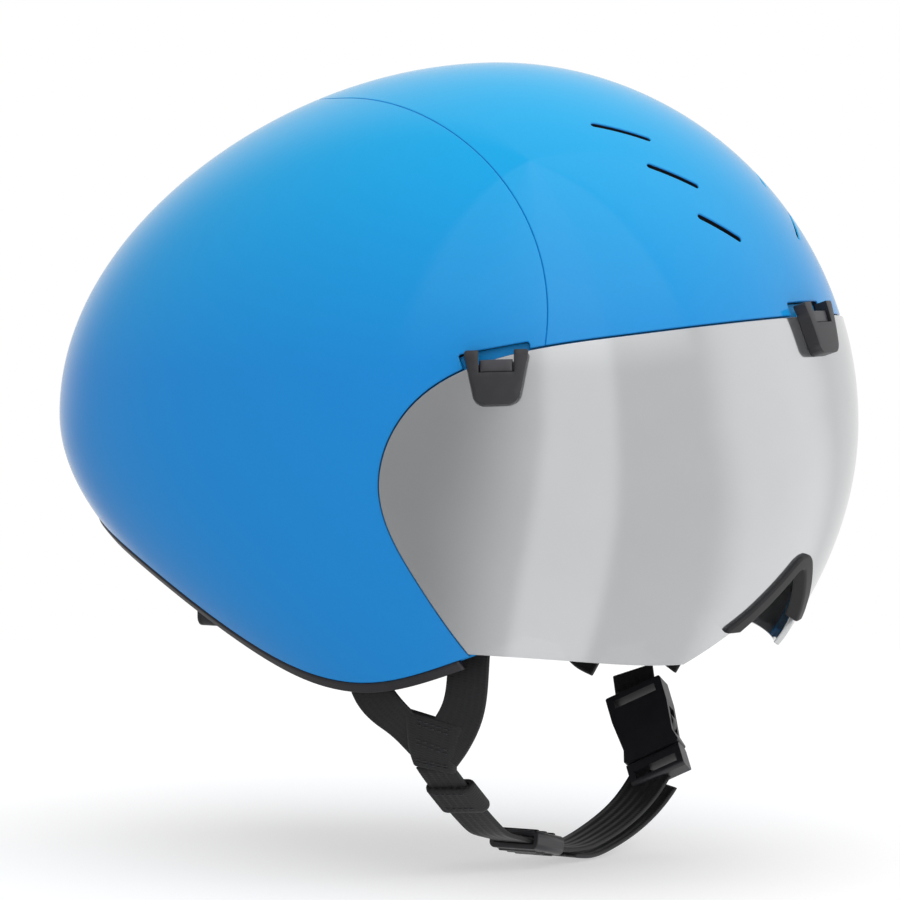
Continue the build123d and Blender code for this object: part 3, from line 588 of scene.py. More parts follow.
def trim(sheet, number, one_edge, inset):
    """Keeps the part of a sheet that lies inside an edge by at least the inset."""
    inside = reach_of(one_edge, inset, sheet["turn"], sheet["climb"]) > 0
    crossings = {}
    for face in sheet["faces"]:
        for a, b in zip(face, face[1:] + face[:1]):
            if inside[a] != inside[b]:
                crossings.setdefault((min(a, b), max(a, b)), len(crossings))
    if crossings:
        pairs = np.array(list(crossings))
        kept = np.where(inside[pairs[:, 0]], pairs[:, 0], pairs[:, 1])
        lost = np.where(inside[pairs[:, 0]], pairs[:, 1], pairs[:, 0])
        low = np.zeros(len(pairs))
        top = np.ones(len(pairs))
        turn_run = sheet["turn"][lost] - sheet["turn"][kept]
        turn_run = (turn_run + math.pi) % (2 * math.pi) - math.pi
        climb_run = sheet["climb"][lost] - sheet["climb"][kept]
        for _ in range(search_steps):
            middle = (low + top) / 2
            turn = sheet["turn"][kept] + turn_run * middle
            climb = sheet["climb"][kept] + climb_run * middle
            is_in = reach_of(one_edge, inset, turn, climb) > 0
            low = np.where(is_in, middle, low)
            top = np.where(is_in, top, middle)
        first_new = len(sheet["turn"])
        sheet["turn"] = np.concatenate([sheet["turn"], sheet["turn"][kept] + turn_run * low])
        sheet["climb"] = np.concatenate([sheet["climb"], sheet["climb"][kept] + climb_run * low])
        tags = sheet["tags"]
        sheet["tags"] = tags + [(tags[a] & tags[b]) | (1 << number) for a, b in pairs]
    faces = []
    for face in sheet["faces"]:
        states = [inside[i] for i in face]
        if all(states):
            faces.append(face)
        elif any(states):
            shape = []
            for a, b in zip(face, face[1:] + face[:1]):
                if inside[a]:
                    shape.append(a)
                if inside[a] != inside[b]:
                    shape.append(first_new + crossings[(min(a, b), max(a, b))])
            faces.append(tuple(shape))
    sheet["faces"] = faces


print("halvings to find a trimmed point:", search_steps)

# %% [markdown]
# Then the sheet gets its real wall. The border turns over in a small quarter round, runs down the wall and
# meets an inner sheet. Every point keeps the form's own direction for shading, so nothing looks faceted.
# Solidify and Bevel modifiers could do this, but the trimmed cells are too uneven for a clean bevel.

# %% Borders and walls
round_steps = 3
mitre_limit = 0.5


def border_of(faces):
    """The edges that only one cell uses, in that cell's own direction."""
    used = set()
    for face in faces:
        used.update(zip(face, face[1:] + face[:1]))
    return [pair for pair in used if (pair[1], pair[0]) not in used]


def out_ways(points, normals, tags, edges):
    """For each border point, the way out over its edges; at a corner the two ways meet in a mitre."""
    ways = [measure(one_edge, points, normals)[1] for one_edge in edges]
    made = np.zeros_like(points)
    for i, tag in enumerate(tags):
        found = [ways[k][i] for k in range(len(edges)) if tag >> k & 1]
        way = sum(found, np.zeros(3))
        if len(found) > 1:
            way = way / max(1 + found[0] @ found[1], mitre_limit)
        made[i] = way
    return made


def wall_profile(wall, edge_round):
    """Steps over a border, as shares out, depths down and leans: a quarter round, the wall, and back."""
    bends = [math.pi / 2 * step / round_steps for step in range(1, round_steps + 1)]
    profile = [(math.sin(bend), (1 - math.cos(bend)) * edge_round, math.cos(bend)) for bend in bends]
    return profile + [(out, wall - down, -lean) for out, down, lean in reversed(profile)]


def skin(name, turns, climbs, edges, insets, proud, wall, edge_round):
    """A closed skin with rounded borders, cut from a grid on the form."""
    sheet = grid(turns, climbs)
    for number, (one_edge, inset) in enumerate(zip(edges, insets)):
        trim(sheet, number, one_edge, inset + edge_round)
    used = sorted({i for face in sheet["faces"] for i in face})
    place_of = {old: new for new, old in enumerate(used)}
    faces = [tuple(place_of[i] for i in face) for face in sheet["faces"]]
    turn = sheet["turn"][used]
    climb = sheet["climb"][used]
    normals = form_normal(turn, climb)
    base = form_point(turn, climb)
    points = base + normals * proud
    border = border_of(faces)
    rim_points = sorted({i for pair in border for i in pair})
    rim_place = {old: new for new, old in enumerate(rim_points)}
    tags = [sheet["tags"][used[i]] for i in rim_points]
    ways = out_ways(base[rim_points], normals[rim_points], tags, edges)
    rim_normals = normals[rim_points]
    all_points = [points, points - normals * wall]
    all_normals = [normals, -normals]
    count = len(points)
    made_faces = list(faces) + [tuple(i + count for i in reversed(face)) for face in faces]
    rings = []
    start = 2 * count
    unit = ways / np.maximum(np.linalg.norm(ways, axis=1, keepdims=True), hair)
    for out, down, lean in wall_profile(wall, edge_round):
        ring = points[rim_points] + ways * edge_round * out - rim_normals * down
        shade = rim_normals * lean + unit * out
        all_points.append(ring)
        all_normals.append(shade / np.linalg.norm(shade, axis=1, keepdims=True))
        rings.append(start)
        start += len(rim_points)
    columns = {i: [i] + [ring + rim_place[i] for ring in rings] + [i + count] for i in rim_points}
    for a, b in border:
        down_a, down_b = columns[a], columns[b]
        for k in range(len(down_a) - 1):
            made_faces.append((down_b[k], down_a[k], down_a[k + 1], down_b[k + 1]))
    made = make_mesh(name, np.concatenate(all_points), made_faces, np.concatenate(all_normals))
    # The second material is for the wall and the inner face, from the end of the outer rounding inwards. On
    # the shells it is black vinyl: painted shade, so the louvres, the seam and the cut edges look dark inside.
    shown = set(range(count)) | set(range(2 * count, 2 * count + round_steps * len(rim_points)))
    for polygon, face in zip(made.data.polygons, made_faces):
        polygon.material_index = 0 if shown.issuperset(face) else 1
    return made


print("steps in a rounded edge:", round_steps)

# %% [markdown]
# Every piece that is built here becomes a mesh in the same way, and then gets its materials and the body that
# it rides on, and the CAD nodes that it stands for are hidden.


# %% Meshes and finishing
def make_mesh(name, points, faces, normals=None):
    """A smooth shaded object from points and faces, with its own shading directions if they are given."""
    mesh = bpy.data.meshes.new(name)
    mesh.from_pydata([tuple(point) for point in points], [], faces)
    mesh.shade_smooth()
    if normals is not None:
        mesh.normals_split_custom_set_from_vertices([tuple(normal) for normal in normals])
    made = bpy.data.objects.new(name, mesh)
    bpy.context.scene.collection.objects.link(made)
    return made


def finish(piece, material, body="root", replaced=(), inner=None):
    """Gives a new piece its materials and its body, and hides the nodes that it stands for."""
    piece.data.materials.append(material)
    piece.data.materials.append(inner or material)
    if body:
        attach(piece, body)
    if replaced:
        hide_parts(*replaced)
    print(piece.name, len(piece.data.vertices), "points")
    return piece


# %% [markdown]
# ## Painted shells
# The shells are thin polycarbonate, sprayed blue and clear coated. The colour sits under a smooth lacquer, so
# a coat layer carries the sharp reflections, and a faint long wave in it is the orange peel of sprayed
# lacquer. The paint under it has nearly the lacquer's own index, so it adds almost no reflection of its own.
# Where the shell faces up its colour is painted lighter and greener: a painted highlight for the light above.

# %% Clear coated blue polycarbonate
peel_size = 9 * mm
peel_depth = 0.006 * mm
fleck_size = 0.9 * mm
# Between these heights of the surface's direction the colour goes over to lighter, greener cards: a painted
# highlight.
painted_light_start = 0.15
painted_light_full = 0.95
lacquer_index = 1.42
paint_index = 1.04


def painted(name, side_cards, lit_top_cards, coat, coat_roughness):
    """Blue paint, painted lighter and greener where the surface faces up: a painted highlight from the light
    above.
    """
    material, tree, here = new_material(name)
    fleck = add(tree, "ShaderNodeTexNoise", {"Vector": here, "Scale": 1 / fleck_size, "Detail": 2.0})
    side, top = [
        add(tree, "ShaderNodeMix", {"Factor": fleck.outputs[0], 6: linear(low), 7: linear(high)},
            data_type="RGBA").outputs[2]
        for low, high in (side_cards, lit_top_cards)]
    facing = add(tree, "ShaderNodeSeparateXYZ", {0: add(tree, "ShaderNodeNewGeometry").outputs["Normal"]})
    up = add(tree, "ShaderNodeMapRange",
             {"Value": facing.outputs["Z"], "From Min": painted_light_start, "From Max": painted_light_full})
    colour = add(tree, "ShaderNodeMix", {"Factor": up.outputs[0], 6: side, 7: top}, data_type="RGBA")
    peel = add(tree, "ShaderNodeTexNoise", {"Vector": here, "Scale": 1 / peel_size, "Detail": 1.0})
    lacquer = add(tree, "ShaderNodeBump",
                  {"Height": peel.outputs[0], "Distance": peel_depth, "Strength": 1.0})
    shader = add(tree, "ShaderNodeBsdfPrincipled", {
        "Base Color": colour.outputs[2], "Roughness": 0.45, "IOR": paint_index, "Coat Weight": coat,
        "Coat Roughness": coat_roughness, "Coat IOR": lacquer_index, "Normal": lacquer.outputs[0],
        "Coat Normal": lacquer.outputs[0]})
    add(tree, "ShaderNodeOutputMaterial", {"Surface": shader.outputs[0]})
    return material


# Side cards, then the lighter, greener cards of the painted highlight where the shell faces up.
shell_paint = painted("clear_coated_blue_polycarbonate", ("#1785d0", "#1a89d4"), ("#10a6dc", "#14aae0"),
                      0.75, 0.03)
# The ledge is the shell's blue made a little darker: painted shade for the recess under the shell's edge.
shaded_ledge_paint = painted("blue_polycarbonate_ledge", ("#1680c8", "#1984cc"), ("#12a2d4", "#15a6d8"), 0.3, 0.10)
print("paint:", shell_paint.name)

# %% [markdown]
# ## Silver tinted lens
# The visor is clear polycarbonate with a vapour deposited metal film. It mirrors most of the room softly and
# lets a little light through, so the foam's edge behind it shows faintly. A metallic layer is the film,
# a see-through layer lets the inside show, and a very faint haze breaks up the mirror as on a wiped lens.
# Tinted glass alone would look clear from the front, and plain metal would hide the foam's edge.

# %% Metal filmed polycarbonate
film_share = 0.80
haze_size = 26 * mm
edge_blend = 0.35
lens_film, tree, here = new_material("metal_filmed_polycarbonate")
haze = add(tree, "ShaderNodeTexNoise", {"Vector": here, "Scale": 1 / haze_size, "Detail": 3.0}).outputs[0]
silver = add(tree, "ShaderNodeMix", {"Factor": haze, 6: linear("#cbcdcf"), 7: linear("#d3d4d6")},
             data_type="RGBA")
sheen = add(tree, "ShaderNodeMapRange", {"Value": haze, "To Min": 0.09, "To Max": 0.14})
mirror = add(tree, "ShaderNodeBsdfPrincipled", {
    "Base Color": silver.outputs[2], "Metallic": 0.9, "Roughness": sheen.outputs[0], "Coat Weight": 0.6,
    "Coat Roughness": 0.02, "IOR": 1.58})
clear = add(tree, "ShaderNodeBsdfTransparent", {"Color": linear("#e2e4e5")})
facing = add(tree, "ShaderNodeLayerWeight", {"Blend": edge_blend}).outputs["Facing"]
film = add(tree, "ShaderNodeMapRange", {"Value": facing, "To Min": film_share, "To Max": 1.0})
layers = add(tree, "ShaderNodeMixShader", {0: film.outputs[0], 1: clear.outputs[0], 2: mirror.outputs[0]})
add(tree, "ShaderNodeOutputMaterial", {"Surface": layers.outputs[0]})
print("lens:", lens_film.name)

# %% [markdown]
# ## Moulded black plastics and rubber
# Clips, buckle and cradle are glass filled nylon from a spark eroded mould: near black, with a fine grain
# that spreads highlights. The trim is soft vinyl, smoother and darker. The nose seal is matt silicone rubber.
# All are two close shades in broad patches with a fine raised grain, so one function makes them. The grain
# could be real bumps in the mesh, but at hundredths of a millimetre a bump in the shading does the same.

# %% Moulded finishes
# Spark eroded grain is about 0.1 mm; it is drawn at 0.35 mm, because finer would not show in the render.
spark_grain = 0.35 * mm
patch_size = 14 * spark_grain
spark_depth = 0.02 * mm
smooth_depth = 0.006 * mm


def moulded(name, low, high, roughness, depth, index):
    """A moulded plastic or rubber between two colour cards."""
    material, tree, here = new_material(name)
    fine = add(tree, "ShaderNodeTexNoise", {"Vector": here, "Scale": 1 / spark_grain, "Detail": 2.0})
    broad = add(tree, "ShaderNodeTexNoise", {"Vector": here, "Scale": 1 / patch_size, "Detail": 2.0})
    colour = add(tree, "ShaderNodeMix", {"Factor": broad.outputs[0], 6: linear(low), 7: linear(high)},
                 data_type="RGBA")
    relief = add(tree, "ShaderNodeBump", {"Height": fine.outputs[0], "Distance": depth, "Strength": 1.0})
    shader = add(tree, "ShaderNodeBsdfPrincipled", {
        "Base Color": colour.outputs[2], "Roughness": roughness, "IOR": index, "Normal": relief.outputs[0]})
    add(tree, "ShaderNodeOutputMaterial", {"Surface": shader.outputs[0]})
    return material


nylon = moulded("spark_grained_black_nylon", "#1f1f23", "#29292d", 0.42, spark_depth, 1.53)
inset_nylon = moulded("satin_charcoal_nylon", "#35353a", "#3e3e43", 0.36, smooth_depth, 1.53)
vinyl = moulded("smooth_black_vinyl", "#1d1a1f", "#262328", 0.40, smooth_depth, 1.52)
rubber = moulded("matt_black_silicone_rubber", "#1a1a1c", "#222225", 0.55, spark_depth, 1.43)
dial_nylon = moulded("soft_touch_charcoal_nylon", "#2b2b2f", "#333338", 0.60, spark_depth, 1.5)
cap_plastic = moulded("polished_black_abs", "#121214", "#18181a", 0.12, smooth_depth, 1.54)
acetal = moulded("natural_white_acetal", "#cfccc2", "#dad7cd", 0.30, smooth_depth, 1.48)
thread = moulded("bonded_polyester_thread", "#17171a", "#2c2c31", 0.38, spark_depth, 1.5)
print("moulded finishes from", nylon.name, "to", thread.name)

# %% [markdown]
# ## Foam and plate
# The liner is expanded polystyrene, whose skin shows the beads it was steamed from, about 3.5 mm each.
# Rounded cells raise the beads, and the gaps between them are painted darker, as painted shade in the creases.
# The magnets wear bright nickel plate, which keeps faint marks from the barrel it was plated in, so its shine
# changes from place to place.

# %% Expanded polystyrene and nickel plate
bead_size = 3.5 * mm
bead_depth = 0.25 * mm
bead_gap = 0.12
foam, tree, here = new_material("black_expanded_polystyrene")
beads = add(tree, "ShaderNodeTexVoronoi", {"Vector": here, "Scale": 1 / bead_size}, feature="SMOOTH_F1")
gaps = add(tree, "ShaderNodeTexVoronoi", {"Vector": here, "Scale": 1 / bead_size}, feature="DISTANCE_TO_EDGE")
# Painted shade: the colour is darker in the gaps between the beads.
shade = add(tree, "ShaderNodeMapRange", {"Value": gaps.outputs["Distance"], "From Max": bead_gap})
colour = add(tree, "ShaderNodeMix", {"Factor": shade.outputs[0], 6: linear("#141416"), 7: linear("#232326")},
             data_type="RGBA")
dome = add(tree, "ShaderNodeMath", {0: 1.0, 1: beads.outputs["Distance"]}, operation="SUBTRACT")
relief = add(tree, "ShaderNodeBump", {"Height": dome.outputs[0], "Distance": bead_depth, "Strength": 1.0})
shader = add(tree, "ShaderNodeBsdfPrincipled", {
    "Base Color": colour.outputs[2], "Roughness": 0.62, "IOR": 1.55, "Normal": relief.outputs[0]})
add(tree, "ShaderNodeOutputMaterial", {"Surface": shader.outputs[0]})

barrel_marks = 1.2 * mm
nickel, tree, here = new_material("bright_nickel_plate")
marks = add(tree, "ShaderNodeTexNoise", {"Vector": here, "Scale": 1 / barrel_marks, "Detail": 4.0}).outputs[0]
colour = add(tree, "ShaderNodeMix", {"Factor": marks, 6: linear("#b9b5ab"), 7: linear("#c9c5bb")},
             data_type="RGBA")
dull = add(tree, "ShaderNodeMapRange", {"Value": marks, "To Min": 0.18, "To Max": 0.32})
shader = add(tree, "ShaderNodeBsdfPrincipled", {
    "Base Color": colour.outputs[2], "Metallic": 1.0, "Roughness": dull.outputs[0]})
add(tree, "ShaderNodeOutputMaterial", {"Surface": shader.outputs[0]})
print("foam and plate:", foam.name, nickel.name)

# %% [markdown]
# ## Webbing
# The straps are polyester webbing. Plain webbing shows fine cross ribs, and the doubled chin webbing has
# broad lengthwise cords. Ribs follow each strap's own length and width, so they are drawn from a map that
# holds real distances. A picture of webbing could lie on that map, but drawn waves stay sharp at any size.

# %% Woven finishes
# The real cross ribs are about 0.6 mm apart; they are drawn at 0.95 mm, because finer would not show.
weft_pitch = 0.95 * mm
warp_pitch = 2.4 * mm
cord_pitch = 2.9 * mm
fluff_size = 3 * spark_grain
weft_depth = 0.07 * mm
cord_depth = 0.30 * mm


def wave(tree, distance, pitch):
    """A rounded ridge from 0 to 1 for each pitch of a distance."""
    turns = add(tree, "ShaderNodeMath", {0: distance, 1: 2 * math.pi / pitch}, operation="MULTIPLY")
    swing = add(tree, "ShaderNodeMath", {0: turns.outputs[0]}, operation="SINE")
    ridge = add(tree, "ShaderNodeMath", {0: swing.outputs[0], 1: 0.5, 2: 0.5}, operation="MULTIPLY_ADD")
    return ridge.outputs[0]


def woven(name, low, high, corded):
    """Webbing whose ribs run across it, with finer ends along it, over broad cords where it has them."""
    material, tree, here = new_material(name)
    cloth = add(tree, "ShaderNodeUVMap", uv_map="cloth")
    parts = add(tree, "ShaderNodeSeparateXYZ", {0: cloth.outputs[0]}).outputs
    weave = add(tree, "ShaderNodeMath", {0: wave(tree, parts["X"], warp_pitch),
                                         1: wave(tree, parts["Y"], weft_pitch)}, operation="MAXIMUM")
    fluff = add(tree, "ShaderNodeTexNoise", {"Vector": here, "Scale": 1 / fluff_size, "Detail": 2.0})
    # Painted shade: the colour is darker in the valleys between the ribs, varied at random by the fluff.
    tone = add(tree, "ShaderNodeMath", {0: weave.outputs[0], 1: fluff.outputs[0]}, operation="MULTIPLY")
    colour = add(tree, "ShaderNodeMix", {"Factor": tone.outputs[0], 6: linear(low), 7: linear(high)},
                 data_type="RGBA")
    ribs = {"Height": weave.outputs[0], "Distance": weft_depth, "Strength": 1.0}
    if corded:
        cords = add(tree, "ShaderNodeBump", {"Height": wave(tree, parts["X"], cord_pitch),
                                             "Distance": cord_depth, "Strength": 1.0})
        ribs["Normal"] = cords.outputs[0]
    relief = add(tree, "ShaderNodeBump", ribs)
    shader = add(tree, "ShaderNodeBsdfPrincipled", {
        "Base Color": colour.outputs[2], "Roughness": 0.62, "Sheen Weight": 0.05, "Sheen Roughness": 0.5,
        "IOR": 1.5, "Normal": relief.outputs[0]})
    add(tree, "ShaderNodeOutputMaterial", {"Surface": shader.outputs[0]})
    return material


webbing_cloth = woven("plain_woven_polyester_webbing", "#0e0e10", "#1e1e21", False)
corded_cloth = woven("corded_polyester_webbing", "#0d0d0f", "#1d1d20", True)
print("webbing:", webbing_cloth.name, corded_cloth.name)

# %% [markdown]
# ## Pad cloth
# The pads wear a brushed knit. Its loops are small raised cells, painted darker between them as painted shade,
# and the brushed pile gives a soft sheen at a low angle. Hair strands would be truer close up, but the pads
# lie in the dark inside the helmet, where the sheen is enough.

# %% Knitted finish
knit_pitch = 1.3 * mm
knit_depth = 0.16 * mm
pile_size = 2 * knit_pitch
knit, tree, here = new_material("brushed_black_knit")
cells = add(tree, "ShaderNodeTexVoronoi", {"Vector": here, "Scale": 1 / knit_pitch}).outputs["Distance"]
pile = add(tree, "ShaderNodeTexNoise", {"Vector": here, "Scale": 1 / pile_size, "Detail": 2.0})
# Painted shade: the colour is darker between the loops, varied by the pile.
tone = add(tree, "ShaderNodeMath", {0: cells, 1: pile.outputs[0]}, operation="MULTIPLY")
colour = add(tree, "ShaderNodeMix", {"Factor": tone.outputs[0], 6: linear("#2a2a2e"), 7: linear("#131315")},
             data_type="RGBA")
loops = add(tree, "ShaderNodeMath", {0: 1.0, 1: cells}, operation="SUBTRACT")
relief = add(tree, "ShaderNodeBump", {"Height": loops.outputs[0], "Distance": knit_depth, "Strength": 1.0})
shader = add(tree, "ShaderNodeBsdfPrincipled", {
    "Base Color": colour.outputs[2], "Roughness": 0.8, "Sheen Weight": 0.3, "Sheen Roughness": 0.4,
    "Normal": relief.outputs[0]})
add(tree, "ShaderNodeOutputMaterial", {"Surface": shader.outputs[0]})
print("pad cloth:", knit.name)

# %% [markdown]
# ## The two shells
# The rear shell runs from the seam to the tail and down both sides. The front shell is the cap over the brow,
# with three louvres on each side. They meet at a fine seam that follows a quarter ellipse, and both edges are
# rounded, which draws a thin line along it; the black walls below the rounding add painted shade to that
# line. One shell with a drawn line would be simpler, but a line has no edges to catch the light.

# %% Rear and front shells
shell_wall = 1.8 * mm
seam_round = 0.45 * mm
seam_gap = 0.02 * mm
full_turns = (-math.pi, math.pi)
base_turn = math.radians(1.5)
climb_step = 0.017
climb_low = climb_at(-86 * mm)
rear_top = climb_at(112 * mm)
front_low = climb_at(20 * mm)
front_top = math.pi / 2 - 0.02
crown_climb = math.pi / 2 - 0.001


def turn_zone(start, stop, step):
    """A part of the way round, in degrees, that gets finer cells."""
    return math.radians(start), math.radians(stop), math.radians(step)


def climb_zone(low, high, step):
    """A part of the height, from level to level, that gets finer cells."""
    return climb_at(low), climb_at(high), step


side_clip_zones = [turn_zone(56, 76, 0.5), turn_zone(-76, -56, 0.5)]
front_zones = [turn_zone(-9, 9, 0.5), turn_zone(9, 41, 0.4), turn_zone(-41, -9, 0.4)]
clip_climbs = climb_zone(6 * mm, 44 * mm, 0.008)
louvre_climbs = climb_zone(54 * mm, 103 * mm, 0.0055)

opening_out = edge(side_axes, opening_curve, 1)
opening_in = edge(side_axes, opening_curve, -1)
over_rim = edge(side_axes, rim_curve, 1)
ahead_of_seam = edge(side_axes, seam_curve, 1)
behind_seam = edge(side_axes, seam_curve, -1)
over_foot = edge(side_axes, foot_curve, -1)

rear_turns = spaced(*full_turns, base_turn, side_clip_zones)
rear_climbs = spaced(climb_low, rear_top, climb_step, [clip_climbs])
rear_edges = [opening_out, over_rim, behind_seam, notch_edges[0], notch_edges[2]]
rear_shell = skin("rear_shell_skin", rear_turns, rear_climbs, rear_edges, [0] * len(rear_edges), 0,
                  shell_wall, seam_round)
# The black vinyl on its walls and inner face is painted shade along the seam and the cut edges.
finish(rear_shell, shell_paint, "root", ["rear_shell"], vinyl)

front_turns = spaced(*full_turns, base_turn, front_zones)
front_climbs = np.append(spaced(front_low, front_top, climb_step, [louvre_climbs]), crown_climb)
front_edges = [opening_out, ahead_of_seam, notch_edges[1]] + slot_edges
front_insets = [0, seam_gap] + [0] * (1 + len(slot_edges))
front_shell = skin("front_shell_skin", front_turns, front_climbs, front_edges, front_insets, 0, shell_wall,
                   seam_round)
# The black vinyl on its walls and inner face is painted shade in the louvres, along the seam and the cut
# edges.
finish(front_shell, shell_paint, "root", ["front_shell"], vinyl)

# %% [markdown]
# ## Visor lens
# One wraparound lens follows the shell's form, a hair proud of it, and fills the opening with a thin gap all
# round. Its lower edge rises to an upturned V over the nose. It is cut from the same form as the shells, so
# its mirror film bends reflections as the real one does. A piece of a cylinder would be easier to make, but
# it would stand off the shells at its edges.

# %% Lens
lens_proud = 0.7 * mm
lens_wall = 2.0 * mm
lens_gap = 0.6 * mm
lens_round = 0.35 * mm
nose_apex = 41 * mm
nose_half = 21 * mm
nose_depth = 62 * mm
nose_flare = 36 * mm
nose_flare_depth = 75 * mm
nose_round = 5 * mm
nose_end = 0.2
lens_top = climb_at(40 * mm)
lens_reach = (math.radians(-118), math.radians(118))
nose_zone = turn_zone(-24, 24, 0.6)
nose_climbs = (climb_low, climb_at(-34 * mm), 0.009)


def nose_outline(grow):
    """The nose opening in front view, grown by a distance."""
    steep = math.hypot(nose_half, nose_depth - nose_apex) / nose_half
    lift = grow * steep
    corners = [(0, lift - nose_apex), (nose_half, lift - nose_depth), (nose_flare, lift - nose_flare_depth),
               (nose_flare, -nose_end), (-nose_flare, -nose_end), (-nose_flare, lift - nose_flare_depth),
               (-nose_half, lift - nose_depth)]
    radii = [nose_round + grow] * 3 + [nose_round] * 2 + [nose_round + grow] * 2
    return rounded(corners, radii)


nose_out = edge(front_axes, nose_outline(0), 1)
lens_turns = spaced(*lens_reach, base_turn, [nose_zone])
lens_climbs = spaced(climb_low, lens_top, climb_step, [nose_climbs])
lens = skin("visor_lens_skin", lens_turns, lens_climbs, [opening_in, over_foot, nose_out], [lens_gap, 0, 0],
            lens_proud, lens_wall, lens_round)
finish(lens, lens_film, "visor", ["visor_lens"])

# %% [markdown]
# ## Nose seal and lower trim
# A soft rubber channel grips the lens along the V, so it stands proud on both faces. A vinyl bead closes
# the shell's cut edge all the way round the rim. Both are narrow skins with generous rounding. Tubes along
# the edges could stand for them, but a tube has no flat faces to lie on the lens or the wall.

# %% Seal and trim
seal_lip = 1.2 * mm
seal_cover = 3.6 * mm
seal_thickness = 1.5 * mm
seal_round = 0.9 * mm
trim_height = 3.2 * mm
trim_proud = 0.5 * mm
trim_depth = 3.0 * mm
trim_round = 0.8 * mm
seat_overlap = 4.0 * mm
seal_low = climb_at(-70 * mm)
seal_top = climb_at(-30 * mm)
seal_step = 0.006
trim_low = climb_at(-92 * mm)
trim_top = climb_at(-20 * mm)
trim_step = 0.008

seal_out = edge(front_axes, nose_outline(-seal_lip), 1)
seal_in = edge(front_axes, nose_outline(seal_cover), -1)
seal_foot = edge(front_axes, [(-far, -nose_depth - seal_lip), (far, -nose_depth - seal_lip)], 1)
seal_turns = spaced(-nose_zone[1], nose_zone[1], nose_zone[2], [])
seal_climbs = spaced(seal_low, seal_top, seal_step, [])
seal = skin("nose_seal_channel", seal_turns, seal_climbs, [seal_out, seal_in, seal_foot], [0, 0, 0],
            lens_proud + seal_thickness, lens_wall + 2 * seal_thickness, seal_round)
finish(seal, rubber, "visor", ["nose_seal"])

under_rim = edge(side_axes, rim_curve, -1)
low_rim = edge(side_axes, rim_curve - np.array([0, trim_height]), 1)
trim_turns = spaced(*full_turns, base_turn, [])
trim_climbs = spaced(trim_low, trim_top, trim_step, [])
trim_bead = skin("lower_trim_bead", trim_turns, trim_climbs, [under_rim, low_rim, opening_out],
                 [0, 0, seat_overlap], trim_proud, trim_proud + trim_depth, trim_round)
finish(trim_bead, vinyl, "root", ["lower_trim"])

# %% [markdown]
# ## Webbing
# Each strap is a flat band that turns as it runs. Stations give the middle of the band, and the band's width
# always leans towards the wearer's front, as a strap does when it lies on a cheek. A smooth line
# through the stations, swept with a section whose edges are rounded, makes the band. A curve object with
# an extrusion could do it, but its tilt would have to be set by hand at every point.

# %% Strap stations
strap_drop = 142 * mm
webbing_width = 15 * mm
webbing_thickness = 1.5 * mm
band_steps = 14
section_steps = 4
pinch = 0.5
pinch_reach = 0.04
strap_shares = {
    "right_front": [(-0.690, -0.262, 0.440), (-0.690, -0.255, 0.530), (-0.683, -0.235, 0.620),
                    (-0.668, -0.190, 0.680), (-0.640, -0.140, 0.722)],
    "right_rear": [(-0.715, 0.050, 0.495), (-0.705, 0.030, 0.590), (-0.686, -0.020, 0.640),
                   (-0.655, -0.065, 0.680), (-0.630, -0.100, 0.715)],
    "left_front": [(0.690, -0.250, 0.440), (0.690, -0.235, 0.540), (0.688, -0.195, 0.605)],
    "left_rear": [(0.715, 0.090, 0.495), (0.705, 0.075, 0.570), (0.690, -0.005, 0.605)],
}
sewn_shares = [(-0.682, -0.150, 0.640), (-0.660, -0.135, 0.685), (-0.625, -0.115, 0.730),
               (-0.592, -0.105, 0.764)]
chin_shares = [(-0.595, -0.105, 0.762), (-0.385, -0.140, 0.910), (-0.345, -0.147, 0.931),
               (-0.285, -0.155, 0.946), (0.005, -0.190, 0.999), (0.080, -0.200, 0.999),
               (0.170, -0.215, 0.985), (0.300, -0.245, 0.945), (0.400, -0.262, 0.900), (0.462, -0.278, 0.852)]
tail_shares = [(0.010, -0.190, 1.014), (0.080, -0.202, 1.020), (0.180, -0.217, 1.010),
               (0.320, -0.247, 0.972), (0.425, -0.275, 0.920), (0.478, -0.292, 0.880)]


def stations(shares):
    """Points from shares of the half width, the front reach and the drop of the strap."""
    return [np.array([x * half_width, y * front_reach, -z * strap_drop]) for x, y, z in shares]


def band_frames(points, steps=band_steps):
    """Points along a smooth band, with the ways along it, across it and out of its face."""
    line = smooth(points, steps)
    along = np.gradient(line, axis=0)
    along /= np.linalg.norm(along, axis=1, keepdims=True)
    ahead = np.array([0.0, -1.0, 0.0])
    across = ahead - along * (along @ ahead)[:, None]
    across /= np.linalg.norm(across, axis=1, keepdims=True)
    return line, along, across, np.cross(along, across)


def band_section(width, thickness, steps=section_steps):
    """A flat section with rounded edges, and its places across."""
    half = width / 2
    bend = thickness / 2
    flats = np.linspace(-half + bend, half - bend, steps * 3)
    ends = [math.pi / 2 * (1 - 2 * i / (2 * steps)) for i in range(1, 2 * steps)]
    top = [(x, bend) for x in flats]
    tip = [(half - bend + bend * math.cos(a), bend * math.sin(a)) for a in ends]
    return np.array(top + tip + [(-x, -y) for x, y in top + tip])


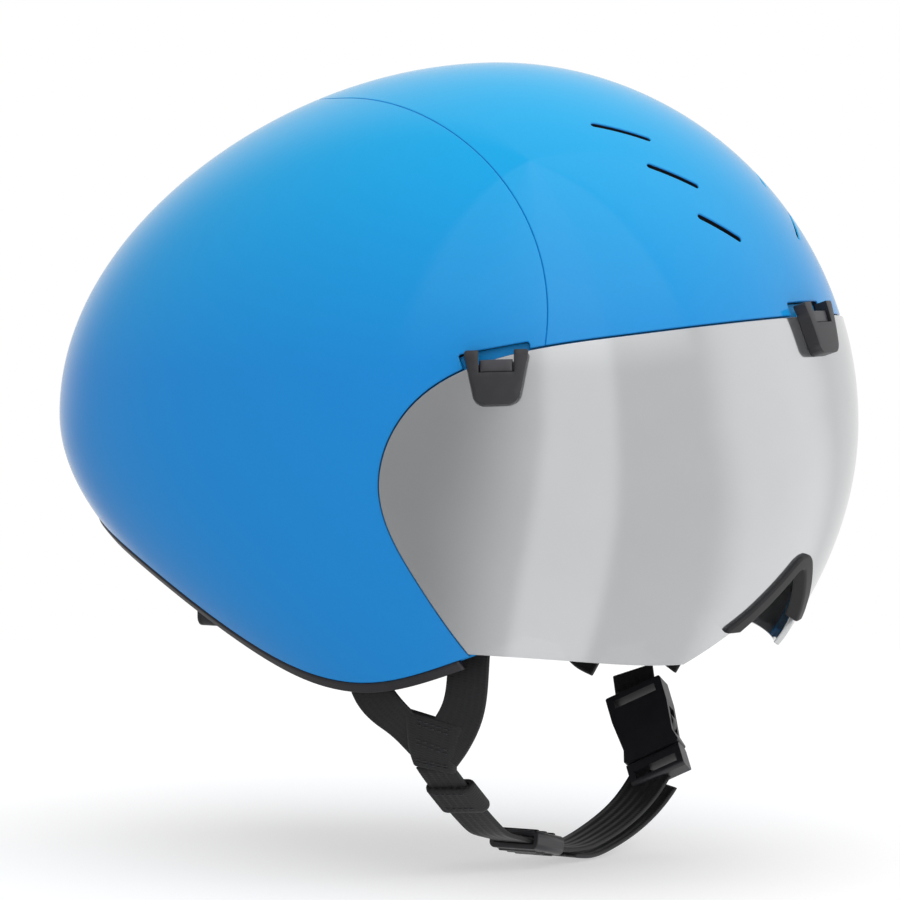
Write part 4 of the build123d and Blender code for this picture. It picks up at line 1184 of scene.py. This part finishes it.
def band(name, points, width=webbing_width, thickness=webbing_thickness, swell=None, steps=band_steps):
    """A swept band with closed ends and a cloth map in real distances."""
    line, _, across, out = band_frames(points, steps)
    section = band_section(width, thickness)
    count = len(section)
    runs = np.concatenate([[0], np.cumsum(np.linalg.norm(np.diff(line, axis=0), axis=1))])
    made = []
    for i, middle in enumerate(line):
        grow = swell(runs[i] / runs[-1]) if swell else (1, 1)
        made += [middle + across[i] * x * grow[0] + out[i] * y * grow[1] for x, y in section]
    faces = []
    for i in range(len(line) - 1):
        for j in range(count):
            k = (j + 1) % count
            faces.append((i * count + k, i * count + j, (i + 1) * count + j, (i + 1) * count + k))
    last = (len(line) - 1) * count
    faces.append(tuple(range(count)))
    faces.append(tuple(last + j for j in reversed(range(count))))
    piece = make_mesh(name, made, faces)
    layer = piece.data.uv_layers.new(name="cloth")
    for loop in piece.data.loops:
        row, column = divmod(loop.vertex_index, count)
        layer.data[loop.index].uv = (section[column][0], runs[row])
    return piece


def pinched(share):
    """A band gets thinner towards its cut ends; share runs from 0 to 1 along it."""
    near = min(share, 1 - share) / pinch_reach
    return (1, 1) if near >= 1 else (1, pinch + (1 - pinch) * math.sqrt(near))


for name, shares in strap_shares.items():
    piece = band("strap_" + name + "_webbing", stations(shares))
    finish(piece, webbing_cloth, "root", ["strap_" + name])

# %% [markdown]
# ## Sewn join and stitches
# On the wearer's right the two side straps meet under a folded patch of webbing, sewn through with three
# double rows of thread. The stitches are small capsules of thread laid on the patch, each a little sunk in.
# They could be a pattern in the cloth, but real threads still stand out where the patch is seen edge on.

# %% Sewn patch and thread
sewn_thickness = 3.2 * mm
stitch_length = 1.7 * mm
stitch_gap = 0.7 * mm
stitch_thick = 0.28 * mm
stitch_rise = 0.02 * mm
stitch_sides = 6
stitch_rows = (0.10, 0.17, 0.44, 0.51, 0.80, 0.87)
stitch_rings = [(-0.5, 0.35), (-0.32, 1.0), (0.32, 1.0), (0.5, 0.35)]
patch_top_share = 1.45


def patch_swell(share):
    """The patch is cut wide, where it takes in both straps, and narrows to the chin webbing."""
    return patch_top_share + (1 - patch_top_share) * share, pinched(share)[1]


def capsules(name, places, length, radius):
    """Many short rounded threads as one piece; each place is a middle, a way along it and a way out."""
    points = []
    faces = []
    for middle, along, out in places:
        side = np.cross(along, out)
        start = len(points)
        for reach, swell in stitch_rings:
            for k in range(stitch_sides):
                turn = 2 * math.pi * k / stitch_sides
                spoke = side * math.cos(turn) + out * math.sin(turn)
                points.append(middle + along * length * reach + spoke * radius * swell)
        last = len(stitch_rings) - 1
        for i in range(last):
            for k in range(stitch_sides):
                n = (k + 1) % stitch_sides
                a = start + i * stitch_sides
                b = a + stitch_sides
                faces.append((a + k, a + n, b + n, b + k))
        faces.append(tuple(start + k for k in reversed(range(stitch_sides))))
        faces.append(tuple(start + last * stitch_sides + k for k in range(stitch_sides)))
    return make_mesh(name, points, faces)


def stitch_places(points, thickness, rows, width=webbing_width, steps=band_steps):
    """Places for rows of stitches across both faces of a band."""
    line, _, across, out = band_frames(points, steps)
    pitch = stitch_length + stitch_gap
    count = int((width - pitch) / pitch)
    made = []
    for row in rows:
        i = min(int(row * (len(line) - 1)), len(line) - 1)
        for face in (-1, 1):
            for k in range(count):
                shift = (k - (count - 1) / 2) * pitch
                middle = line[i] + across[i] * shift + out[i] * face * (thickness / 2 + stitch_rise)
                made.append((middle, across[i], out[i] * face))
    return made


sewn = stations(sewn_shares)
patch = band("sewn_join_patch", sewn, webbing_width, sewn_thickness, patch_swell)
finish(patch, webbing_cloth, "root", ["sewn_join"])
stitches = capsules("sewn_join_thread", stitch_places(sewn, sewn_thickness, stitch_rows), stitch_length,
                    stitch_thick)
finish(stitches, thread)

# %% [markdown]
# ## Chin webbing
# Below the join the chin webbing runs through a keeper and a ladder slider, and its free end lies
# doubled on it up to the buckle.

# %% Chin webbing, tail and the buckle's own strap
chin = stations(chin_shares)
tail = stations(tail_shares)
buckle_strap_share = (0.640, -0.130, 0.630)
buckle_mouth_share = (0.490, -0.272, 0.818)
buckle_top_share = (0.622, -0.139, 0.652)
buckle_strap_foot = 28.5 * mm
for points, node in ((chin, "chin_webbing"), (tail, "webbing_tail")):
    piece = band(node + "_cord", points, webbing_width, webbing_thickness, pinched)
    finish(piece, corded_cloth, None, [node])
    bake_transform(piece)

mouth = stations([buckle_mouth_share])[0]
lift = stations([buckle_top_share])[0] - mouth
lift /= np.linalg.norm(lift)
buckle_strap = [mouth + lift * buckle_strap_foot] + stations([buckle_strap_share])
piece = band("buckle_webbing_band", buckle_strap, webbing_width, webbing_thickness)
finish(piece, webbing_cloth, "root", ["buckle_webbing"])

# %% [markdown]
# ## Keeper
# The keeper is a short sleeve of the same corded webbing, sewn into a flat loop that slides on the chin
# webbing. It is a band's section with a smaller one inside it, and its cut ends are rounded over. A box
# with rounded edges would look the same from the side, but cloth shows its own thickness at open ends.

# %% Keeper sleeve
keeper_length = 12 * mm
keeper_gap = 0.4 * mm
keeper_wall = 1.5 * mm
keeper_share = 0.5
keeper_rings = 7
keeper_hem = 0.25
end_share = 0.99
keeper_rows = (0.16, 0.84)


def sleeve(name, line, width, thickness, wall):
    """A flat loop of cloth round a straight run, with its cut ends rounded over."""
    points, _, across, out = band_frames(line, keeper_rings)
    outer = band_section(width + 2 * wall, thickness + 2 * wall)
    inner = band_section(width, thickness)
    count = len(outer)
    shares = [abs(2 * i / (len(points) - 1) - 1) for i in range(len(points))]
    rings = [(i, 1 - keeper_hem * (share > end_share)) for i, share in enumerate(shares)]
    made = []
    for i, share in rings:
        for (x, y), (u, v) in zip(outer, inner):
            made.append(points[i] + across[i] * (u + (x - u) * share) + out[i] * (v + (y - v) * share))
    for i, _ in reversed(rings):
        made += [points[i] + across[i] * u + out[i] * v for u, v in inner]
    total = 2 * len(rings)
    faces = []
    for i in range(total):
        n = (i + 1) % total
        for j in range(count):
            k = (j + 1) % count
            faces.append((i * count + k, i * count + j, n * count + j, n * count + k))
    piece = make_mesh(name, made, faces)
    layer = piece.data.uv_layers.new(name="cloth")
    for loop in piece.data.loops:
        row, column = divmod(loop.vertex_index, count)
        run = min(row, total - 1 - row) / (len(rings) - 1) * keeper_length
        layer.data[loop.index].uv = (outer[column][0], run)
    return piece


chin_run = chin[1] - chin[0]
chin_way = chin_run / np.linalg.norm(chin_run)
keeper_middle = chin[0] + chin_run * keeper_share
keeper_line = [keeper_middle + chin_way * keeper_length * share for share in (-0.5, 0, 0.5)]
keeper_inside = webbing_width + 2 * keeper_gap, webbing_thickness + 2 * keeper_gap
piece = sleeve("strap_keeper_sleeve", keeper_line, *keeper_inside, keeper_wall)
finish(piece, corded_cloth, "keeper", ["strap_keeper"])
keeper_thickness = keeper_inside[1] + 2 * keeper_wall
rows = stitch_places(keeper_line, keeper_thickness, keeper_rows, keeper_inside[0], keeper_rings)
finish(capsules("strap_keeper_thread", rows, stitch_length, stitch_thick), thread, "keeper")

# %% [markdown]
# ## Pads
# The pads lie on the liner's inner form, which is a smaller egg with a lower crown. Each is a closed cushion:
# full in the middle, pulled in at its edges, with rounded ends and sewn channels across it. Cloth
# simulation is the usual way to fill a cushion. These are a few millimetres thick and lie flat on a hard
# form, so their shape comes from distances to the edge and to the channels, and is the same every time.

# %% The liner's inner form
cavity_reaches = (77 * mm, 99 * mm, 101 * mm)
cavity_crown = 94 * mm
ray_steps = 30


def inside_cavity(points, inset):
    """Whether points lie within the liner's inner form, made smaller by an inset."""
    side, front, rear = [reach - inset for reach in cavity_reaches]
    crown = cavity_crown - inset
    share = np.clip(points[:, 2] / crown, 0, 1)
    arch = np.sqrt(1 - share ** 2)
    lean_rear = arch * (1 - rear_crown_share * share ** 2)
    sine = points[:, 0] / np.maximum(side * arch, on_curve)
    cosine = np.sqrt(np.clip(1 - sine ** 2, 0, 1))
    mean = (front * arch + rear * lean_rear) / 2
    lean = (rear * lean_rear - front * arch) / 2
    low = -mean * cosine + lean * cosine ** 2
    top = mean * cosine + lean * cosine ** 2
    return (np.abs(sine) < 1) & (points[:, 1] > low) & (points[:, 1] < top) & (points[:, 2] < crown)


def cast(starts, ways, inset):
    """Where rays from inside meet the liner's inner form."""
    low = np.zeros(len(starts))
    top = np.full(len(starts), 2 * cavity_reaches[2])
    for _ in range(ray_steps):
        middle = (low + top) / 2
        within = inside_cavity(starts + ways * middle[:, None], inset)
        low = np.where(within, middle, low)
        top = np.where(within, top, middle)
    return starts + ways * low[:, None]


print("inner width of the liner:", 2 * cavity_reaches[0])

# %% Cushions
pad_gap = 0.3 * mm
pad_fullness = 5.8 * mm
pad_edge = 0.28
pad_curl = 5 * mm
channel_pitch = 27 * mm
channel_width = 1.5 * mm
channel_depth = 0.5
cushion_step = 1.6 * mm
cushion_across = 16


def swollen(near, curl):
    """How full a cushion is by its distance from the edge, from 0 to 1 on a quarter circle."""
    return np.sqrt(1 - (1 - np.minimum(near / curl, 1)) ** 2)


def cushion(name, length, width, rays):
    """A cushion on the liner; rays gives a start and a way for each place along and across it."""
    count = int(length / cushion_step)
    runs = (np.arange(count) + 0.5) / count * length
    ends = np.minimum(runs, length - runs)
    half = width / 2
    halves = half * swollen(ends, half)
    shares = np.sin(np.linspace(-math.pi / 2, math.pi / 2, cushion_across))
    along = np.repeat(runs - length / 2, cushion_across)
    across = (halves[:, None] * shares[None, :]).ravel()
    beside = (halves[:, None] * (1 - np.abs(shares[None, :]))).ravel()
    full = swollen(np.minimum(beside, np.repeat(ends, cushion_across)), pad_curl)
    off = (along + channel_pitch / 2) % channel_pitch - channel_pitch / 2
    full = full * (1 - channel_depth * np.exp(-(off / channel_width) ** 2))
    starts, ways = rays(along, across)
    back = pad_gap + pad_fullness * pad_edge * (1 - full)
    face = pad_gap + pad_fullness * (pad_edge + (1 - pad_edge) * full)
    sheets = []
    for depth in (back, face):
        outer = cast(starts, ways, 0.0)
        deeper = cast(starts, ways, pad_fullness)
        sheets.append(outer + (deeper - outer) * (depth / pad_fullness)[:, None])
    total = count * cushion_across
    faces = []
    for i in range(count - 1):
        for j in range(cushion_across - 1):
            a = i * cushion_across + j
            cell = (a, a + cushion_across, a + cushion_across + 1, a + 1)
            faces.append(cell)
            faces.append(tuple(n + total for n in reversed(cell)))
    walls = [(a, b, b + total, a + total) for b, a in border_of(faces[::2])]
    piece = make_mesh(name, np.concatenate(sheets), faces + walls)
    return piece


print("cushion thickness:", pad_fullness)

# %% [markdown]
# The brow pad lies level round the forehead, so its rays spread from the helmet's middle line. The three
# crown strips run from front to rear, side by side, so their rays spread upwards.

# %% Brow pad and crown strips
brow_level = 28 * mm
brow_width = 19.4 * mm
brow_sweep = math.radians(104)
brow_length = 158 * mm
strip_width = 23.4 * mm
strip_sweep = math.radians(94)
strip_length = 158 * mm
strip_lean = math.radians(90)
side_strip_middle = 44 * mm
side_strip_sweep = math.radians(94)
side_strip_length = 132 * mm


def brow_rays(along, across):
    """Rays for a pad that lies level round the forehead."""
    turn = along / brow_length * brow_sweep
    starts = np.stack([np.zeros_like(turn), np.zeros_like(turn), brow_level + across], axis=-1)
    return starts, np.stack([np.sin(turn), -np.cos(turn), np.zeros_like(turn)], axis=-1)


def strip_rays(middle, length, sweep):
    """Rays for a strip that runs over the crown from front to rear."""
    def rays(along, across):
        turn = strip_lean + along / length * sweep
        starts = np.stack([middle + across, np.zeros_like(turn), np.zeros_like(turn)], axis=-1)
        return starts, np.stack([np.zeros_like(turn), -np.cos(turn), np.sin(turn)], axis=-1)
    return rays


pads = [
    ("brow_pad_cushion", brow_length, brow_width, brow_rays, "brow_pad"),
    ("crown_pad_cushion", strip_length, strip_width, strip_rays(0, strip_length, strip_sweep), "crown_pad"),
    ("crown_side_left_cushion", side_strip_length, strip_width,
     strip_rays(side_strip_middle, side_strip_length, side_strip_sweep), "crown_side_pad_left"),
    ("crown_side_right_cushion", side_strip_length, strip_width,
     strip_rays(-side_strip_middle, side_strip_length, side_strip_sweep), "crown_side_pad_right"),
]
for name, length, width, rays, node in pads:
    finish(cushion(name, length, width, rays), knit, "root", [node])

# %% [markdown]
# The wing pads are small cushions on the cradle's upright wings. The crown's rays would land on them at a
# slant, so they are drawn as a rounded square in rear view and laid on the wing's curve.

# %% Wing pads
wing_reaches = (63.9 * mm, 96.9 * mm, 86.9 * mm)
wing_level = -62 * mm
wing_pad_low = 15.2 * mm
wing_pad_high = 41.8 * mm
wing_pad_tall = 21.6 * mm
wing_pad_fullness = 2.9 * mm
wing_grid = 15
wing_curl = 3 * mm
wing_rounding = 0.12
for side, node, body in ((1, "wing_pad_left", "wing_left"), (-1, "wing_pad_right", "wing_right")):
    middle = (wing_pad_low + wing_pad_high) / 2
    reach = (wing_pad_high - wing_pad_low) / 2
    steps = np.sin(np.linspace(-math.pi / 2, math.pi / 2, wing_grid))
    u, v = [values.ravel() for values in np.meshgrid(steps, steps, indexing="ij")]
    # A rounded square: each share shrinks a little as the other one grows.
    x = side * (middle + reach * u * np.sqrt(1 - v ** 2 * wing_rounding))
    z = wing_level + wing_pad_tall / 2 * v * np.sqrt(1 - u ** 2 * wing_rounding)
    full = swollen(np.minimum(1 - np.abs(u), 1 - np.abs(v)) * reach, wing_curl)
    sheets = []
    for depth in (pad_edge * (1 - full), pad_edge + (1 - pad_edge) * full):
        inset = wing_pad_fullness * depth
        cosine = np.sqrt(1 - (x / (wing_reaches[0] - inset)) ** 2)
        mean = (wing_reaches[1] + wing_reaches[2]) / 2 - inset
        lean = (wing_reaches[2] - wing_reaches[1]) / 2
        sheets.append(np.stack([x, mean * cosine + lean * cosine ** 2, z], axis=-1))
    count = wing_grid ** 2
    cells = [(i * wing_grid + j, i * wing_grid + j + 1, (i + 1) * wing_grid + j + 1, (i + 1) * wing_grid + j)
             for i in range(wing_grid - 1) for j in range(wing_grid - 1)]
    cells = [cell if side > 0 else cell[::-1] for cell in cells]
    faces = cells + [tuple(n + count for n in reversed(cell)) for cell in cells]
    faces += [(a, b, b + count, a + count) for b, a in border_of(cells)]
    piece = make_mesh(node + "_cushion", np.concatenate(sheets), faces)
    finish(piece, knit, body, [node])

# %% [markdown]
# ## Finishes on the CAD pieces
# The imported pieces that stay get the finish of their slot. Moulds never leave a sharp corner, so the hard
# plastic pieces and the magnets get a small rounded edge for the light to catch, finer on the gear teeth than
# on the clips and the buckle. The edges could be rounded in the CAD model, but a Bevel modifier leaves that
# model as it is.

# %% Finishes and softened edges
finishes = {
    "seat_blue": shaded_ledge_paint, "magnet_nickel": nickel, "moulded_black": nylon, "clip_inset": inset_nylon,
    "foam_black": foam, "dial_grey": dial_nylon, "dial_face": cap_plastic, "gear_acetal": acetal,
    "webbing_black": webbing_cloth, "trim_black": vinyl, "shell_blue": shell_paint, "lens_grey": lens_film,
    "nose_rubber": rubber, "pad_fabric": knit,
}
soft_edge = 0.4 * mm
fine_edge = 0.12 * mm
edge_angle = math.radians(35)
weld_reach = 0.001 * mm
fine_pieces = ("rack_left", "rack_right", "dial_pinion", "housing_cover", "cradle_pins")
unrounded_slots = ("foam_black", "seat_blue", "webbing_black", "trim_black", "shell_blue", "lens_grey",
                   "nose_rubber", "pad_fabric")
slot_of = {part["node"]: part["material_slot"] for part in frame["record"]["subparts"]}
for name, node in nodes.items():
    node.data.materials.clear()
    node.data.materials.append(finishes[slot_of[name]])
    if slot_of[name] in unrounded_slots:
        continue
    weld = node.modifiers.new("weld", "WELD")
    weld.merge_threshold = weld_reach
    rounding = node.modifiers.new("rounding", "BEVEL")
    rounding.width = fine_edge if name in fine_pieces else soft_edge
    rounding.segments = 2
    rounding.limit_method = "ANGLE"
    rounding.angle_limit = edge_angle
    rounding.use_clamp_overlap = True
    rounding.harden_normals = True
print("finished nodes:", len(nodes))
